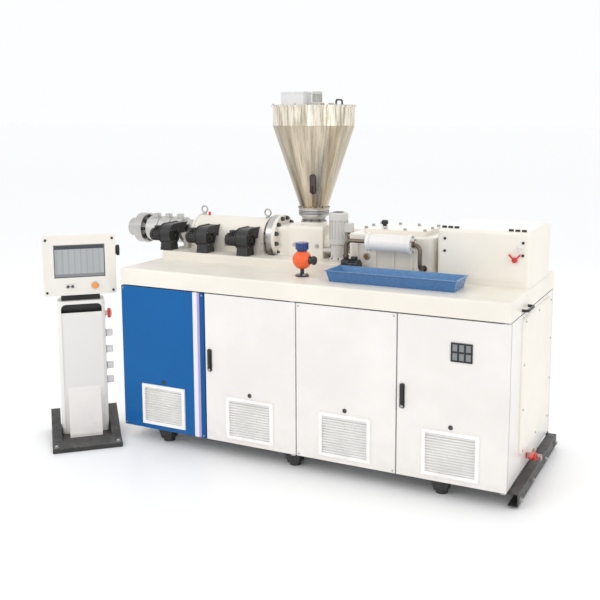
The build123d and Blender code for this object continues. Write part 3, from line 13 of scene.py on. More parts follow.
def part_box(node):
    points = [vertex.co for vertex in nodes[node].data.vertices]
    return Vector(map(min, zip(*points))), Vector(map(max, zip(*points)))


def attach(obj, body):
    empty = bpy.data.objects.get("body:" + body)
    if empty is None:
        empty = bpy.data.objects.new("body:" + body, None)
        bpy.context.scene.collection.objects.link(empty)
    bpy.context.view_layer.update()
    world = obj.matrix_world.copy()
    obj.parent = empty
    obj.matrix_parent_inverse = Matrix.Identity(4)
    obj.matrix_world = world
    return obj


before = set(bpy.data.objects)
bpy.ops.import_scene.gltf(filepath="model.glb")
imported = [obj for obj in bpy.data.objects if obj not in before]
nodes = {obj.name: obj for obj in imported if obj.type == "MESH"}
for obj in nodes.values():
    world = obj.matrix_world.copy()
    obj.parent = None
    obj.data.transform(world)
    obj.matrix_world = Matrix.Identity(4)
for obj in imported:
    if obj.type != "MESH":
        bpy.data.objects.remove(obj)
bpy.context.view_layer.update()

MACHINE = "machine"
LEFT_DOOR = "left_door"
RIGHT_DOOR = "right_door"
LID_FLAP = "lid_flap"

FRONT = (0, -1, 0)
REAR = (0, 1, 0)
UP = (0, 0, 1)
DOWN = (0, 0, -1)
LEFT = (-1, 0, 0)
RIGHT = (1, 0, 0)

panel_low, panel_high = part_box("blue_panel")
corner = Vector((panel_low.x, panel_low.y, 0))


def on_machine(x, y, z):
    """A point given from the cabinet's left front corner."""
    return corner + Vector((x, y, z))


# The console is drawn round the middle of its column and then turned towards the operator
CONSOLE_TURN = math.radians(43.5)
CONSOLE_PLACE = (-0.241, -0.126, 0)
COLUMN_SETBACK = 0.110

console_back = Vector((-math.sin(CONSOLE_TURN), math.cos(CONSOLE_TURN), 0))
column_middle = on_machine(*CONSOLE_PLACE) + console_back * COLUMN_SETBACK
console_matrix = Matrix.Translation(column_middle) @ Matrix.Rotation(CONSOLE_TURN, 4, "Z")
console_inverse = console_matrix.inverted()


# Modelling steps

ROUNDING_ANGLE = math.radians(35)


def pick(*objects):
    """Selects these objects alone and makes the first one active."""
    bpy.ops.object.select_all(action="DESELECT")
    for obj in objects:
        obj.select_set(True)
    bpy.context.view_layer.objects.active = objects[0]


def settle(obj):
    """Moves the place, turn and size of an object into its mesh."""
    pick(obj)
    bpy.ops.object.transform_apply(location=True, rotation=True, scale=True)
    return obj


def leave_edit_mode():
    """Turns every face outward and goes back to object mode."""
    bpy.ops.mesh.select_all(action="SELECT")
    bpy.ops.mesh.normals_make_consistent(inside=False)
    bpy.ops.object.mode_set(mode="OBJECT")


def join(pieces):
    """Makes one mesh of several pieces."""
    pick(*pieces)
    if len(pieces) > 1:
        bpy.ops.object.join()
    return settle(bpy.context.object)


def placing(place, axis):
    """The move that lays a piece drawn up from Z = 0 at a place along another axis."""
    turn = Vector(axis).normalized().to_track_quat("Z", "Y")
    return Matrix.Translation(place) @ turn.to_matrix().to_4x4()


def block(low, high, width=0.0, steps=2):
    """A rectangular piece between two corners, with its edges rounded by a width."""
    low, high = Vector(low), Vector(high)
    bpy.ops.mesh.primitive_cube_add(size=1, location=(low + high) / 2, scale=high - low)
    obj = settle(bpy.context.object)
    if width > 0:
        rounding = obj.modifiers.new("rounding", "BEVEL")
        rounding.width = width
        rounding.segments = steps
        rounding.limit_method = "ANGLE"
        rounding.angle_limit = ROUNDING_ANGLE
        bpy.ops.object.modifier_apply(modifier=rounding.name)
        bpy.ops.object.shade_smooth_by_angle(angle=ROUNDING_ANGLE)
    return obj


def block_at(place, low, high, width=0.0, steps=2):
    """A block with its corners given from a place."""
    place = Vector(place)
    return block(place + Vector(low), place + Vector(high), width, steps)


def turned(rings, place=(0, 0, 0), axis=UP, steps=32, smooth=30):
    """A round solid drawn up ring by ring from (radius, height) pairs, then laid on an axis."""
    radius, height = rings[0]
    bpy.ops.mesh.primitive_circle_add(
        vertices=steps, radius=radius, fill_type="NGON", location=(0, 0, height)
    )
    obj = settle(bpy.context.object)
    bpy.ops.object.mode_set(mode="EDIT")
    bpy.ops.mesh.select_all(action="SELECT")
    for next_radius, next_height in rings[1:]:
        bpy.ops.mesh.extrude_region_move(
            TRANSFORM_OT_translate={"value": (0, 0, next_height - height)}
        )
        ratio = next_radius / radius
        bpy.ops.transform.resize(value=(ratio, ratio, 1), center_override=(0, 0, next_height))
        radius, height = next_radius, next_height
    leave_edit_mode()
    obj.data.transform(placing(place, axis))
    pick(obj)
    bpy.ops.object.shade_smooth_by_angle(angle=math.radians(smooth))
    return obj


def hexagon(rings, place=(0, 0, 0), axis=UP):
    """A six-sided solid with crisp edges, from (radius, height) pairs."""
    return turned(rings, place, axis, steps=6, smooth=5)


def ring(radius, wire, place, axis=UP, around=48, across=10):
    """A round ring of wire about an axis."""
    bpy.ops.mesh.primitive_torus_add(
        major_radius=radius, minor_radius=wire, major_segments=around, minor_segments=across
    )
    obj = settle(bpy.context.object)
    obj.data.transform(placing(place, axis))
    bpy.ops.object.shade_smooth()
    return obj


def tube(points, radius, resolution=2):
    """A round bar along points."""
    curve = bpy.data.curves.new("path", "CURVE")
    curve.dimensions = "3D"
    curve.bevel_depth = radius
    curve.bevel_resolution = resolution
    curve.use_fill_caps = True
    spline = curve.splines.new("POLY")
    spline.points.add(len(points) - 1)
    for knot, point in zip(spline.points, points):
        knot.co = (*point, 1)
    obj = bpy.data.objects.new("tube", curve)
    bpy.context.scene.collection.objects.link(obj)
    pick(obj)
    bpy.ops.object.convert(target="MESH")
    bpy.ops.object.mode_set(mode="EDIT")
    bpy.ops.mesh.select_all(action="SELECT")
    bpy.ops.mesh.remove_doubles(threshold=0.00001)
    leave_edit_mode()
    bpy.ops.object.shade_smooth_by_angle(angle=math.radians(40))
    return bpy.context.object


def hex_head(across, height):
    """A hexagon head on its washer, standing on Z = 0."""
    base = height * 0.25
    washer = turned([(across * 0.66, 0), (across * 0.66, base)], steps=20)
    edge = across * 0.56
    head = hexagon([(edge, base), (edge, base + height * 0.85), (across * 0.48, base + height)])
    return join([washer, head])


def cap_screw(radius, height):
    """A socket cap screw's head with its round socket, standing on Z = 0."""
    head = turned(
        [(radius, 0), (radius, height * 0.85), (radius * 0.86, height)], steps=16, smooth=25
    )
    bpy.ops.object.mode_set(mode="EDIT")
    bpy.ops.mesh.select_all(action="DESELECT")
    bpy.ops.object.mode_set(mode="OBJECT")
    for face in head.data.polygons:
        face.select = face.normal.z > 0.9
    bpy.ops.object.mode_set(mode="EDIT")
    bpy.ops.mesh.inset(thickness=radius * 0.38)
    bpy.ops.mesh.extrude_region_move(TRANSFORM_OT_translate={"value": (0, 0, -height * 0.5)})
    leave_edit_mode()
    return head


def fastened(head, places, axis):
    """One fastener head repeated at each place along an axis; the pattern piece is used up."""
    copies = []
    for place in places:
        copy = head.copy()
        copy.data = head.data.copy()
        copy.data.transform(placing(place, axis))
        bpy.context.scene.collection.objects.link(copy)
        copies.append(copy)
    bpy.data.objects.remove(head)
    return join(copies)


# Places of what repeats


def sides(reach, middle=0.0):
    """The two values at a reach on either side of a middle."""
    return [middle - reach, middle + reach]


def spread(low, high, inset, count=2):
    """Evenly spaced values between two ends that are inset."""
    span = high - low - 2 * inset
    return [low + inset + span * step / (count - 1) for step in range(count)]


def grid(xs, ys, zs):
    """Every place with one of these values of X, Y and Z."""
    return [(x, y, z) for x in xs for y in ys for z in zs]


def circle_places(centre, radius, count, axis, start=0):
    """Evenly spaced points on a circle about an axis."""
    turn = placing(centre, axis)
    angles = [math.radians(start) + math.tau * number / count for number in range(count)]
    return [turn @ Vector((math.cos(a) * radius, math.sin(a) * radius, 0)) for a in angles]


# Shader nodes


def put(socket, value):
    """Links an input to another node's output, or sets it; a colour is an RGB triple."""
    if isinstance(value, bpy.types.NodeSocket):
        socket.id_data.links.new(value, socket)
    elif socket.type == "RGBA":
        socket.default_value = (*value, 1.0)
    else:
        socket.default_value = value


def fill(node, **values):
    """Links or sets inputs by their labels, with an underscore for each space."""
    for label, value in values.items():
        put(node.inputs[label.replace("_", " ")], value)
    return node


def add(tree, kind, **values):
    return fill(tree.nodes.new("ShaderNode" + kind), **values)


def noise(vector, scale, detail, roughness):
    node = add(vector.id_data, "TexNoise", Vector=vector, Scale=scale)
    return fill(node, Detail=detail, Roughness=roughness).outputs["Fac"]


def remap(value, low, high, to_low=0.0, to_high=1.0, smooth=False):
    """A value carried over from one range to another and held at the ends."""
    node = add(value.id_data, "MapRange", Value=value, From_Min=low, From_Max=high)
    node.interpolation_type = "SMOOTHSTEP" if smooth else "LINEAR"
    return fill(node, To_Min=to_low, To_Max=to_high).outputs["Result"]


def maths(operation, first, second):
    node = add(first.id_data, "Math")
    node.operation = operation
    node.use_clamp = operation in ("MULTIPLY", "ADD")
    put(node.inputs[0], first)
    put(node.inputs[1], second)
    return node.outputs[0]


def times(first, second):
    return maths("MULTIPLY", first, second)


def above(value, limit):
    return maths("GREATER_THAN", value, limit)


def below(value, limit):
    return maths("LESS_THAN", value, limit)


def between(value, low, high):
    return times(above(value, low), below(value, high))


def vector_maths(operation, *vectors):
    node = add(vectors[0].id_data, "VectorMath")
    node.operation = operation
    for socket, value in zip(node.inputs, vectors):
        put(socket, value)
    return node.outputs


def blend(mask, under, over):
    """One colour over another by a mask."""
    node = add(mask.id_data, "Mix")
    node.data_type = "RGBA"
    put(node.inputs["Factor"], mask)
    colours = [socket for socket in node.inputs if socket.type == "RGBA"]
    put(colours[0], under)
    put(colours[1], over)
    return [socket for socket in node.outputs if socket.type == "RGBA"][0]


def layered(base, *layers):
    """A base colour under layers that are each a mask and a colour."""
    for mask, colour in layers:
        base = blend(mask, base, colour)
    return base


def coordinates(tree, label="Object"):
    return add(tree, "TexCoord").outputs[label]


def part_of(vector, label):
    return add(vector.id_data, "SeparateXYZ", Vector=vector).outputs[label]


def place_axis(tree, label):
    """One coordinate of the place on the surface."""
    return part_of(coordinates(tree), label)


def console_axis(tree, label):
    """One coordinate in the console's own directions, from the middle of its column."""
    place = add(
        tree, "Mapping", Vector=coordinates(tree),
        Location=console_inverse.to_translation(), Rotation=console_inverse.to_euler(),
    )
    return part_of(place.outputs["Vector"], label)


# Shader groups


def new_group(name, inputs, *outputs):
    """A shader group with the sockets at its two ends; its outputs are plain values."""
    group = bpy.data.node_groups.new(name, "ShaderNodeTree")
    for label, value in inputs.items():
        kind = "NodeSocketVector" if isinstance(value, tuple) else "NodeSocketFloat"
        group.interface.new_socket(label, in_out="INPUT", socket_type=kind).default_value = value
    for label in outputs:
        group.interface.new_socket(label, in_out="OUTPUT", socket_type="NodeSocketFloat")
    given = group.nodes.new("NodeGroupInput").outputs
    return group, given, group.nodes.new("NodeGroupOutput")


def make_coat_grain():
    """The orange peel of a powder coat, its slow change of tone and its rubbed spots."""
    group, given, result = new_group(
        "coat_grain", {"Scale": 900.0, "Cloud Scale": 2.2}, "Height", "Tone", "Rub"
    )
    place = coordinates(group)
    peel = noise(place, given["Scale"], 2.0, 0.5)
    cloud = noise(place, given["Cloud Scale"], 4.0, 0.55)
    rub = noise(place, 24.0, 6.0, 0.7)
    tone = remap(cloud, 0.3, 0.7, smooth=True)
    fill(result, Height=peel, Tone=tone, Rub=remap(rub, 0.35, 0.75))
    return group


def make_edge_wear():
    """A mask in patches along outer edges, where a finish has rubbed thin."""
    group, given, result = new_group("edge_wear", {"Width": 0.004}, "Mask")
    rounded = add(group, "Bevel", Radius=given["Width"])
    rounded.samples = 4
    true_normal = add(group, "NewGeometry").outputs["True Normal"]
    dot = vector_maths("DOT_PRODUCT", rounded.outputs["Normal"], true_normal)["Value"]
    patches = remap(noise(coordinates(group), 60.0, 5.0, 0.65), 0.48, 0.62)
    fill(result, Mask=times(remap(dot, 0.995, 0.86), patches))
    return group


def make_settled_dust():
    """Dust on faces that look up, and a little grime near the floor."""
    group, given, result = new_group("settled_dust", {"Amount": 0.5}, "Mask", "Low Grime")
    up = remap(part_of(coordinates(group, "Normal"), "Z"), 0.55, 0.98, smooth=True)
    place = coordinates(group)
    patches = remap(noise(place, 7.0, 8.0, 0.68), 0.35, 0.8)
    low = remap(part_of(place, "Z"), 0.34, 0.06, smooth=True)
    splashes = remap(noise(place, 14.0, 8.0, 0.7), 0.42, 0.75)
    lying = times(times(up, patches), given["Amount"])
    fill(result, Mask=lying, Low_Grime=times(times(low, splashes), given["Amount"]))
    return group


def make_brushed_lines():
    """Fine lines left by brushing, drawn out along the axis that Stretch makes short."""
    group, given, result = new_group(
        "brushed_lines", {"Stretch": (1.0, 1.0, 1.0), "Scale": 400.0}, "Height", "Tone"
    )
    place = coordinates(group)
    drawn_out = vector_maths("MULTIPLY", place, given["Stretch"])["Vector"]
    lines = noise(drawn_out, given["Scale"], 4.0, 0.6)
    smears = noise(place, 9.0, 5.0, 0.6)
    fill(result, Height=lines, Tone=remap(smears, 0.3, 0.7))
    return group


def make_cast_skin():
    """The grainy skin of a casting or of thick brushed paint."""
    group, _, result = new_group("cast_skin", {}, "Height", "Tone")
    place = coordinates(group)
    fine = noise(place, 260.0, 6.0, 0.7)
    coarse = noise(place, 32.0, 5.0, 0.6)
    grains = maths("ADD", times(fine, 0.6), coarse)
    fill(result, Height=grains, Tone=remap(coarse, 0.3, 0.7))
    return group


coat_grain = make_coat_grain()
edge_wear = make_edge_wear()
settled_dust = make_settled_dust()
brushed_lines = make_brushed_lines()
cast_skin = make_cast_skin()


# Materials

PAINT_DUST = (0.60, 0.57, 0.50)
PAINT_GRIME = (0.36, 0.33, 0.28)
METAL_DUST = (0.48, 0.45, 0.40)
CASTING_DUST = (0.34, 0.32, 0.29)
CASTING_GRIME = (0.22, 0.20, 0.17)
PLASTIC_DUST = (0.42, 0.40, 0.36)
BARE_SHEET = (0.42, 0.41, 0.39)
BARE_CASTING = (0.40, 0.39, 0.37)

SOOT_BLACK = (0.018, 0.018, 0.020)
KNOB_WHITE = (0.84, 0.84, 0.85)
BUTTON_ORANGE = (0.90, 0.30, 0.02)


def new_material(name):
    material = bpy.data.materials.new(name)
    material.use_nodes = True
    return material, material.node_tree


def set_surface(tree, **values):
    """Links or sets inputs of a material's principled shader."""
    fill(tree.nodes["Principled BSDF"], **values)


def overlaid(material, *layers, **values):
    """Lays more colours over a finished material, each as a mask and a colour."""
    shader = material.node_tree.nodes["Principled BSDF"]
    under = shader.inputs["Base Color"].links[0].from_socket
    fill(shader, Base_Color=layered(under, *layers), **values)
    return material


def use_group(tree, group, **values):
    node = add(tree, "Group")
    node.node_tree = group
    return fill(node, **values).outputs


def bump(height, strength, distance):
    node = add(height.id_data, "Bump", Strength=strength, Distance=distance, Height=height)
    return node.outputs["Normal"]


def shade(colour, factor, lift=0.0):
    return tuple(min(1.0, channel * factor + lift) for channel in colour)


def painted(name, colour, roughness=0.34, wear=0.35, bare=BARE_SHEET, dust=0.35):
    """Sheet metal with a coat of paint that is rubbed along its edges."""
    material, tree = new_material(name)
    grain = use_group(tree, coat_grain, Scale=900.0)
    worn = use_group(tree, edge_wear, Width=0.0035)
    dusty = use_group(tree, settled_dust, Amount=dust)
    base = layered(
        blend(grain["Tone"], shade(colour, 0.955), shade(colour, 1.03)),
        (dusty["Mask"], PAINT_DUST),
        (dusty["Low Grime"], PAINT_GRIME),
        (times(worn["Mask"], wear), bare),
    )
    gloss = remap(grain["Rub"], 0.0, 1.0, roughness - 0.05, roughness + 0.10)
    dulled = maths("ADD", gloss, times(dusty["Mask"], 0.4))
    set_surface(
        tree, Base_Color=base, Roughness=dulled, Coat_Weight=0.12, Coat_Roughness=0.22,
        Normal=bump(grain["Height"], 0.10, 0.0004),
    )
    return material


def striped_panel(name, colour, band, stripe, line, edge):
    """The blue panel: a pale stripe, a thin line in it and a darker band at its right edge."""
    material = painted(name, colour, roughness=0.34, wear=0.5, bare=(0.30, 0.42, 0.60), dust=0.12)
    tree = material.node_tree
    across = place_axis(tree, "X")
    band_edge = edge - STRIPE_BAND
    return overlaid(
        material,
        (above(across, band_edge - STRIPE_WIDTH), stripe),
        (above(across, band_edge - STRIPE_WIDTH * 0.36), line),
        (above(across, band_edge), band),
        Specular_IOR_Level=0.22, Coat_Weight=0.04,
    )


def column_finish(name, shell, panel, dark):
    """The console column: painted shell, paler sunk panel, a recess painted black as painted shade,
    and a black neck.
    """
    half_panel, panel_top = 0.1352, 0.945
    panel_face, recess_face, inner_end = -0.0846, -0.0768, -0.02
    recess_foot, neck_foot = 0.8836, 0.9665
    material = painted(name, shell, roughness=0.36, wear=0.2, dust=0.25)
    tree = material.node_tree
    back = console_axis(tree, "Y")
    inside = between(console_axis(tree, "X"), -half_panel, half_panel)
    rise = place_axis(tree, "Z")
    sunk = times(inside, between(back, panel_face, inner_end))
    shaded_recess = times(inside, between(back, recess_face, inner_end))
    # The recess at the top of the front is painted black: painted shade for the gap under the box.
    return overlaid(
        material,
        (times(sunk, below(rise, panel_top)), panel),
        (times(shaded_recess, between(rise, recess_foot, panel_top)), dark),
        (above(rise, neck_foot), dark),
    )


def controls_finish(name, white, cap, lit, dark):
    """The console's controls: white knobs, grey caps, an orange button, a black tilt knob."""
    cap_front, button_left, tilt_left, tilt_foot = -0.0745, 0.05, 0.2, 1.1
    material = moulded(name, white, roughness=0.36)
    tree = material.node_tree
    across = console_axis(tree, "X")
    front = below(console_axis(tree, "Y"), cap_front)
    tilt = times(above(across, tilt_left), above(place_axis(tree, "Z"), tilt_foot))
    lens = times(front, above(across, button_left)), lit
    caps = times(front, below(across, 0.0)), cap
    return overlaid(material, lens, caps, (tilt, dark))


def valve_finish(name, colour, dark, port_x, stem_top):
    """The vent valve: painted bulb with a dark stem and a dark side port."""
    material = painted(name, colour, roughness=0.28, wear=0.6, dust=0.2)
    tree = material.node_tree
    port = above(place_axis(tree, "X"), port_x)
    stem = below(place_axis(tree, "Z"), stem_top)
    return overlaid(material, (port, dark), (stem, dark))


def tray_finish(name, colour, rubbed):
    """The tray: blue paint with a painted highlight, paler in patches on its floor and other faces
    that look up, where the light falls.
    """
    material = painted(name, colour, roughness=0.28, wear=0.7, dust=0.35)
    tree = material.node_tree
    # Painted highlight: faces that look up take the paler colour in patches, standing in for the
    # light that falls on them.
    inside = remap(part_of(coordinates(tree, "Normal"), "Z"), 0.05, 0.30)
    light_patches = noise(coordinates(tree), 22.0, 6.0, 0.7)
    return overlaid(material, (times(inside, remap(light_patches, 0.3, 0.7, 0.55, 1.0)), rubbed))


def brushed(name, colour, stretch=(1, 1, 1), roughness=0.30, scale=420.0):
    """Brushed or ground metal with fine lines along one axis."""
    material, tree = new_material(name)
    lines = use_group(tree, brushed_lines, Stretch=stretch, Scale=scale)
    dusty = use_group(tree, settled_dust, Amount=0.3)
    base = layered(
        blend(lines["Tone"], shade(colour, 0.86), shade(colour, 1.08)),
        (remap(lines["Height"], 0.3, 0.7), shade(colour, 0.94)),
        (dusty["Mask"], METAL_DUST),
    )
    gloss = remap(lines["Height"], 0.3, 0.7, roughness - 0.06, roughness + 0.10)
    set_surface(
        tree, Base_Color=base, Roughness=gloss, Metallic=1.0,
        Normal=bump(lines["Height"], 0.25, 0.00015),
    )
    return material


def rolled_stainless(name, colour, band, painted_reflection, centre, band_foot):
    """Stainless sheet rolled into a cone, with painted reflections in its colour: long dark and
    light stripes run from outlet to rim, and the upper band is lighter with darker stripes of its
    own.
    """
    material, tree = new_material(name)
    place = add(
        tree, "Mapping", Vector=coordinates(tree), Location=(-centre.x, -centre.y, 0)
    ).outputs["Vector"]
    flat = vector_maths("MULTIPLY", place, (1, 1, 0))["Vector"]
    around = vector_maths("NORMALIZE", flat)["Vector"]
    rise = vector_maths("MULTIPLY", place, (0, 0, 0.35))["Vector"]
    along = vector_maths("ADD", around, rise)["Vector"]
    broad = noise(along, 3.4, 2.0, 0.5)
    narrow = noise(along, 15.0, 4.0, 0.6)
    hair = noise(along, 240.0, 3.0, 0.6)
    in_band = above(place_axis(tree, "Z"), band_foot)
    # Painted reflections: broad darker and lighter stripes on the cone, painted highlights with
    # darker stripes above it, and dark reflection lines over both.
    cone = blend(remap(broad, 0.34, 0.66), shade(colour, 0.66), shade(colour, 1.12))
    rim = blend(remap(narrow, 0.44, 0.62), shade(colour, 1.0, 0.27), band)
    strength = remap(in_band, 0.0, 1.0, 0.62, 0.2)
    reflection_streaks = times(remap(narrow, 0.42, 0.66), strength)
    set_surface(
        tree,
        Base_Color=layered(cone, (in_band, rim), (reflection_streaks, painted_reflection)),
        Roughness=remap(hair, 0.3, 0.7, 0.20, 0.33),
        Metallic=1.0,
        Normal=bump(hair, 0.25, 0.00012),
    )
    return material


def cast(name, colour, roughness, wear, metallic=0.0, depth=0.0006, dust=0.5):
    """A painted or bare casting with a grainy skin."""
    material, tree = new_material(name)
    skin = use_group(tree, cast_skin)
    worn = use_group(tree, edge_wear, Width=0.003)
    dusty = use_group(tree, settled_dust, Amount=dust)
    base = layered(
        blend(skin["Tone"], shade(colour, 0.85), shade(colour, 1.15)),
        (dusty["Mask"], CASTING_DUST),
        (dusty["Low Grime"], CASTING_GRIME),
        (times(worn["Mask"], wear), BARE_CASTING),
    )
    gloss = remap(skin["Tone"], 0.0, 1.0, roughness - 0.06, roughness + 0.10)
    set_surface(
        tree, Base_Color=base, Roughness=gloss, Metallic=metallic,
        Normal=bump(skin["Height"], 0.35, depth),
    )
    return material


def moulded(name, colour, roughness=0.40, coat=0.0):
    """Moulded plastic with a fine texture, dull rubbed spots, and paler edges that are partly wear
    and partly a painted highlight.
    """
    material, tree = new_material(name)
    grain = use_group(tree, coat_grain, Scale=1500.0, Cloud_Scale=6.0)
    worn = use_group(tree, edge_wear, Width=0.002)
    dusty = use_group(tree, settled_dust, Amount=0.3)
    base = layered(
        blend(grain["Tone"], shade(colour, 0.93), shade(colour, 1.06)),
        (dusty["Mask"], PLASTIC_DUST),
        # Paler edges: partly rubbed wear, partly a painted edge highlight.
        (times(worn["Mask"], 0.4), shade(colour, 1.25, 0.03)),
    )
    gloss = remap(grain["Rub"], 0.0, 1.0, roughness - 0.06, roughness + 0.08)
    set_surface(
        tree, Base_Color=base, Roughness=gloss, Coat_Weight=coat,
        Normal=bump(grain["Height"], 0.15, 0.0003),
    )
    return material


def display(name, low, high):
    """The console's screen: a grey working field with a dark head bar and plain blocks."""
    material, tree = new_material(name)
    rise = remap(place_axis(tree, "Z"), low.z, high.z)
    blocks = add(
        tree, "TexBrick", Vector=coordinates(tree), Scale=9.0, Mortar_Size=0.03,
        Color1=(0.291, 0.306, 0.311), Color2=(0.315, 0.33, 0.335), Mortar=(0.261, 0.2745, 0.281),
    )
    head = remap(rise, 0.86, 0.87), (0.035, 0.04, 0.05)
    foot = remap(rise, 0.12, 0.11), (0.17, 0.18, 0.19)
    base = layered(blocks.outputs["Color"], head, foot)
    smears = noise(coordinates(tree), 18.0, 5.0, 0.6)
    set_surface(
        tree, Base_Color=base, Emission_Color=base, Emission_Strength=0.35,
        Roughness=remap(smears, 0.3, 0.7, 0.08, 0.24),
    )
    return material


def filter_felt(name):
    """Pale filter mat behind the vents."""
    material, tree = new_material(name)
    fibres = noise(coordinates(tree), 700.0, 6.0, 0.8)
    clumps = remap(noise(coordinates(tree), 60.0, 4.0, 0.6), 0.4, 0.8)
    base = blend(fibres, (0.86, 0.85, 0.83), (0.96, 0.95, 0.94))
    base = blend(clumps, base, (0.88, 0.87, 0.84))
    set_surface(tree, Base_Color=base, Roughness=0.95, Normal=bump(fibres, 0.8, 0.001))
    return material


def floor_finish(name):
    """A pale smooth floor."""
    material, tree = new_material(name)
    clouds = noise(coordinates(tree), 0.6, 4.0, 0.5)
    base = blend(clouds, (0.980, 0.980, 0.980), (0.990, 0.990, 0.990))
    set_surface(tree, Base_Color=base, Roughness=0.38, Specular_IOR_Level=0.35)
    return material


STRIPE_BAND = 0.034
STRIPE_WIDTH = 0.052
CONE_FOOT = 0.092
CONE_RIM = 0.280
CONE_HEIGHT = 0.566
VALVE_PORT = 0.040
VALVE_STEM_TOP = 1.249

hopper_low, hopper_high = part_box("hopper")
hopper_middle = (hopper_low + hopper_high) / 2
cone_top = hopper_low.z + CONE_HEIGHT
valve_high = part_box("vent_valve")[1]

warm_white = painted("warm_white_coat", (0.845, 0.815, 0.785), roughness=0.33, wear=0.22, dust=0.2)
cream = painted("cream_coat", (0.865, 0.82, 0.735), roughness=0.36, wear=0.25, dust=0.25)
console_white = painted("console_white_coat", (0.85, 0.82, 0.755), wear=0.2, dust=0.2)
blue = striped_panel(
    "blue_panel_coat", (0.0, 0.112, 0.355), band=(0.0, 0.085, 0.285), stripe=(0.80, 0.79, 0.86),
    line=(0.42, 0.36, 0.62), edge=panel_high.x,
)
# The paler tray blue is a painted highlight for the tray's upward faces.
tray_blue = tray_finish("tray_blue_coat", (0.055, 0.165, 0.37), rubbed=(0.16, 0.34, 0.58))
pale_grey = painted("pale_grey_coat", (0.62, 0.61, 0.58), roughness=0.38, wear=0.25, dust=0.25)
frame_grey = painted("frame_grey_coat", (0.50, 0.50, 0.49), roughness=0.45, dust=0.5)
black_coat = cast(
    "black_coat", (0.020, 0.020, 0.021), roughness=0.42, wear=0.5, depth=0.0003, dust=0.16
)
red_coat = painted("red_coat", (0.62, 0.020, 0.018), roughness=0.28, wear=0.6, dust=0.3)
zinc = brushed("zinc_sheet", (0.60, 0.62, 0.64), roughness=0.40, scale=34.0)
# The hopper's colours hold painted reflections: the cone's tones, the upper band's light and dark
# colours and the dark reflection lines.
stainless = rolled_stainless(
    "rolled_stainless", (0.655, 0.575, 0.455), band=(0.52, 0.475, 0.36),
    painted_reflection=(0.25, 0.215, 0.145), centre=hopper_middle, band_foot=cone_top,
)
lid_steel = brushed("lid_steel", (0.62, 0.59, 0.53), (1, 0.04, 1), scale=300.0)
ground_steel = brushed("ground_steel", (0.56, 0.55, 0.53), (0.05, 1, 1))
bolt_steel = brushed("bolt_steel", (0.50, 0.49, 0.47), roughness=0.33, scale=160.0)
aluminium = cast("band_aluminium", (0.62, 0.61, 0.59), roughness=0.40, wear=0.3, metallic=1.0)
oiled_steel = brushed("oiled_pipe", (0.20, 0.165, 0.13), roughness=0.32, scale=60.0)
black_plastic = moulded("black_plastic", SOOT_BLACK)
white_plastic = moulded("white_plastic", KNOB_WHITE, roughness=0.36)
vent_plastic = moulded("vent_plastic", (0.93, 0.92, 0.90), roughness=0.45)
orange_plastic = moulded("orange_plastic", BUTTON_ORANGE, roughness=0.30, coat=0.4)
red_plastic = moulded("red_plastic", (0.72, 0.02, 0.02), roughness=0.28, coat=0.4)
yellow_plastic = moulded("yellow_plastic", (0.85, 0.60, 0.03), roughness=0.36)
valve_orange = valve_finish(
    "valve_orange", (0.86, 0.12, 0.02), dark=(0.02, 0.02, 0.022),
    port_x=valve_high.x - VALVE_PORT, stem_top=VALVE_STEM_TOP,
)
cap_blue = moulded("cap_blue", (0.012, 0.045, 0.20), roughness=0.30, coat=0.3)
dark_glass = moulded("dark_glass", (0.050, 0.022, 0.015), roughness=0.10, coat=0.6)
screen = display("console_display", *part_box("console_screen"))
felt = filter_felt("filter_felt")
dark_steel = brushed("dark_steel", (0.10, 0.10, 0.105), roughness=0.36, scale=140.0)
meter_glass = moulded("meter_glass", (0.20, 0.21, 0.22), roughness=0.12, coat=0.6)
oil_glass = moulded("oil_glass", (0.30, 0.16, 0.03), roughness=0.06, coat=0.8)
seam_grey = moulded("seam_grey", (0.12, 0.125, 0.13))
# The column's dark colour serves as painted shade in its top recess, and as the neck's black.
column_coat = column_finish(
    "console_column_coat", shell=(0.83, 0.815, 0.79), panel=(0.80, 0.78, 0.75),
    dark=(0.016, 0.016, 0.018),
)
controls_plastic = controls_finish(
    "console_controls_plastic", KNOB_WHITE, cap=(0.34, 0.35, 0.36), lit=BUTTON_ORANGE,
    dark=SOOT_BLACK,
)

# Each finish with the CAD nodes that wear it
FINISHES = (
    (warm_white, ("end_walls", "rear_panels", "centre_panel", "left_door", "right_door",
                  "oil_cooler", "console_foot_cover")),
    (cream, ("top_cover", "end_cover", "barrel_bench", "barrel_cover", "feed_throat",
             "gearbox", "motor_hood")),
    (blue, ("blue_panel",)),
    (tray_blue, ("blue_tray",)),
    (pale_grey, ("stirrer_motor", "feeder_drive")),
    (frame_grey, ("frame_posts", "top_frame")),
    (black_coat, ("base_frame", "levelling_feet", "end_beam", "blower_1", "blower_2",
                  "blower_3", "oil_pump", "console_base")),
    (red_coat, ("drain_valve", "hood_lever")),
    (zinc, ("floor_and_partitions", "door_pivots")),
    (stainless, ("hopper",)),
    (lid_steel, ("fixed_lid", "lid_flap")),
    (ground_steel, ("barrel", "die_adapter", "feeder_collar")),
    (bolt_steel, ("lifting_eyes",)),
    (aluminium, ("heater_bands",)),
    (oiled_steel, ("oil_pipes",)),
    (black_plastic, ("left_door_handle", "right_door_handle", "indicator_plate", "end_grip",
                     "lid_handle", "hood_catches")),
    (white_plastic, ("lid_box",)),
    (vent_plastic, ("fixed_grilles", "left_door_grille", "right_door_grille")),
    (valve_orange, ("vent_valve",)),
    (cap_blue, ("valve_cap",)),
    (dark_glass, ("sight_glass",)),
    (column_coat, ("console_column",)),
    (console_white, ("console_box",)),
    (screen, ("console_screen",)),
    (controls_plastic, ("console_controls",)),
)
for material, names in FINISHES:
    for name in names:
        surface = nodes[name].data
        surface.materials.clear()
        surface.materials.append(material)


# Added pieces

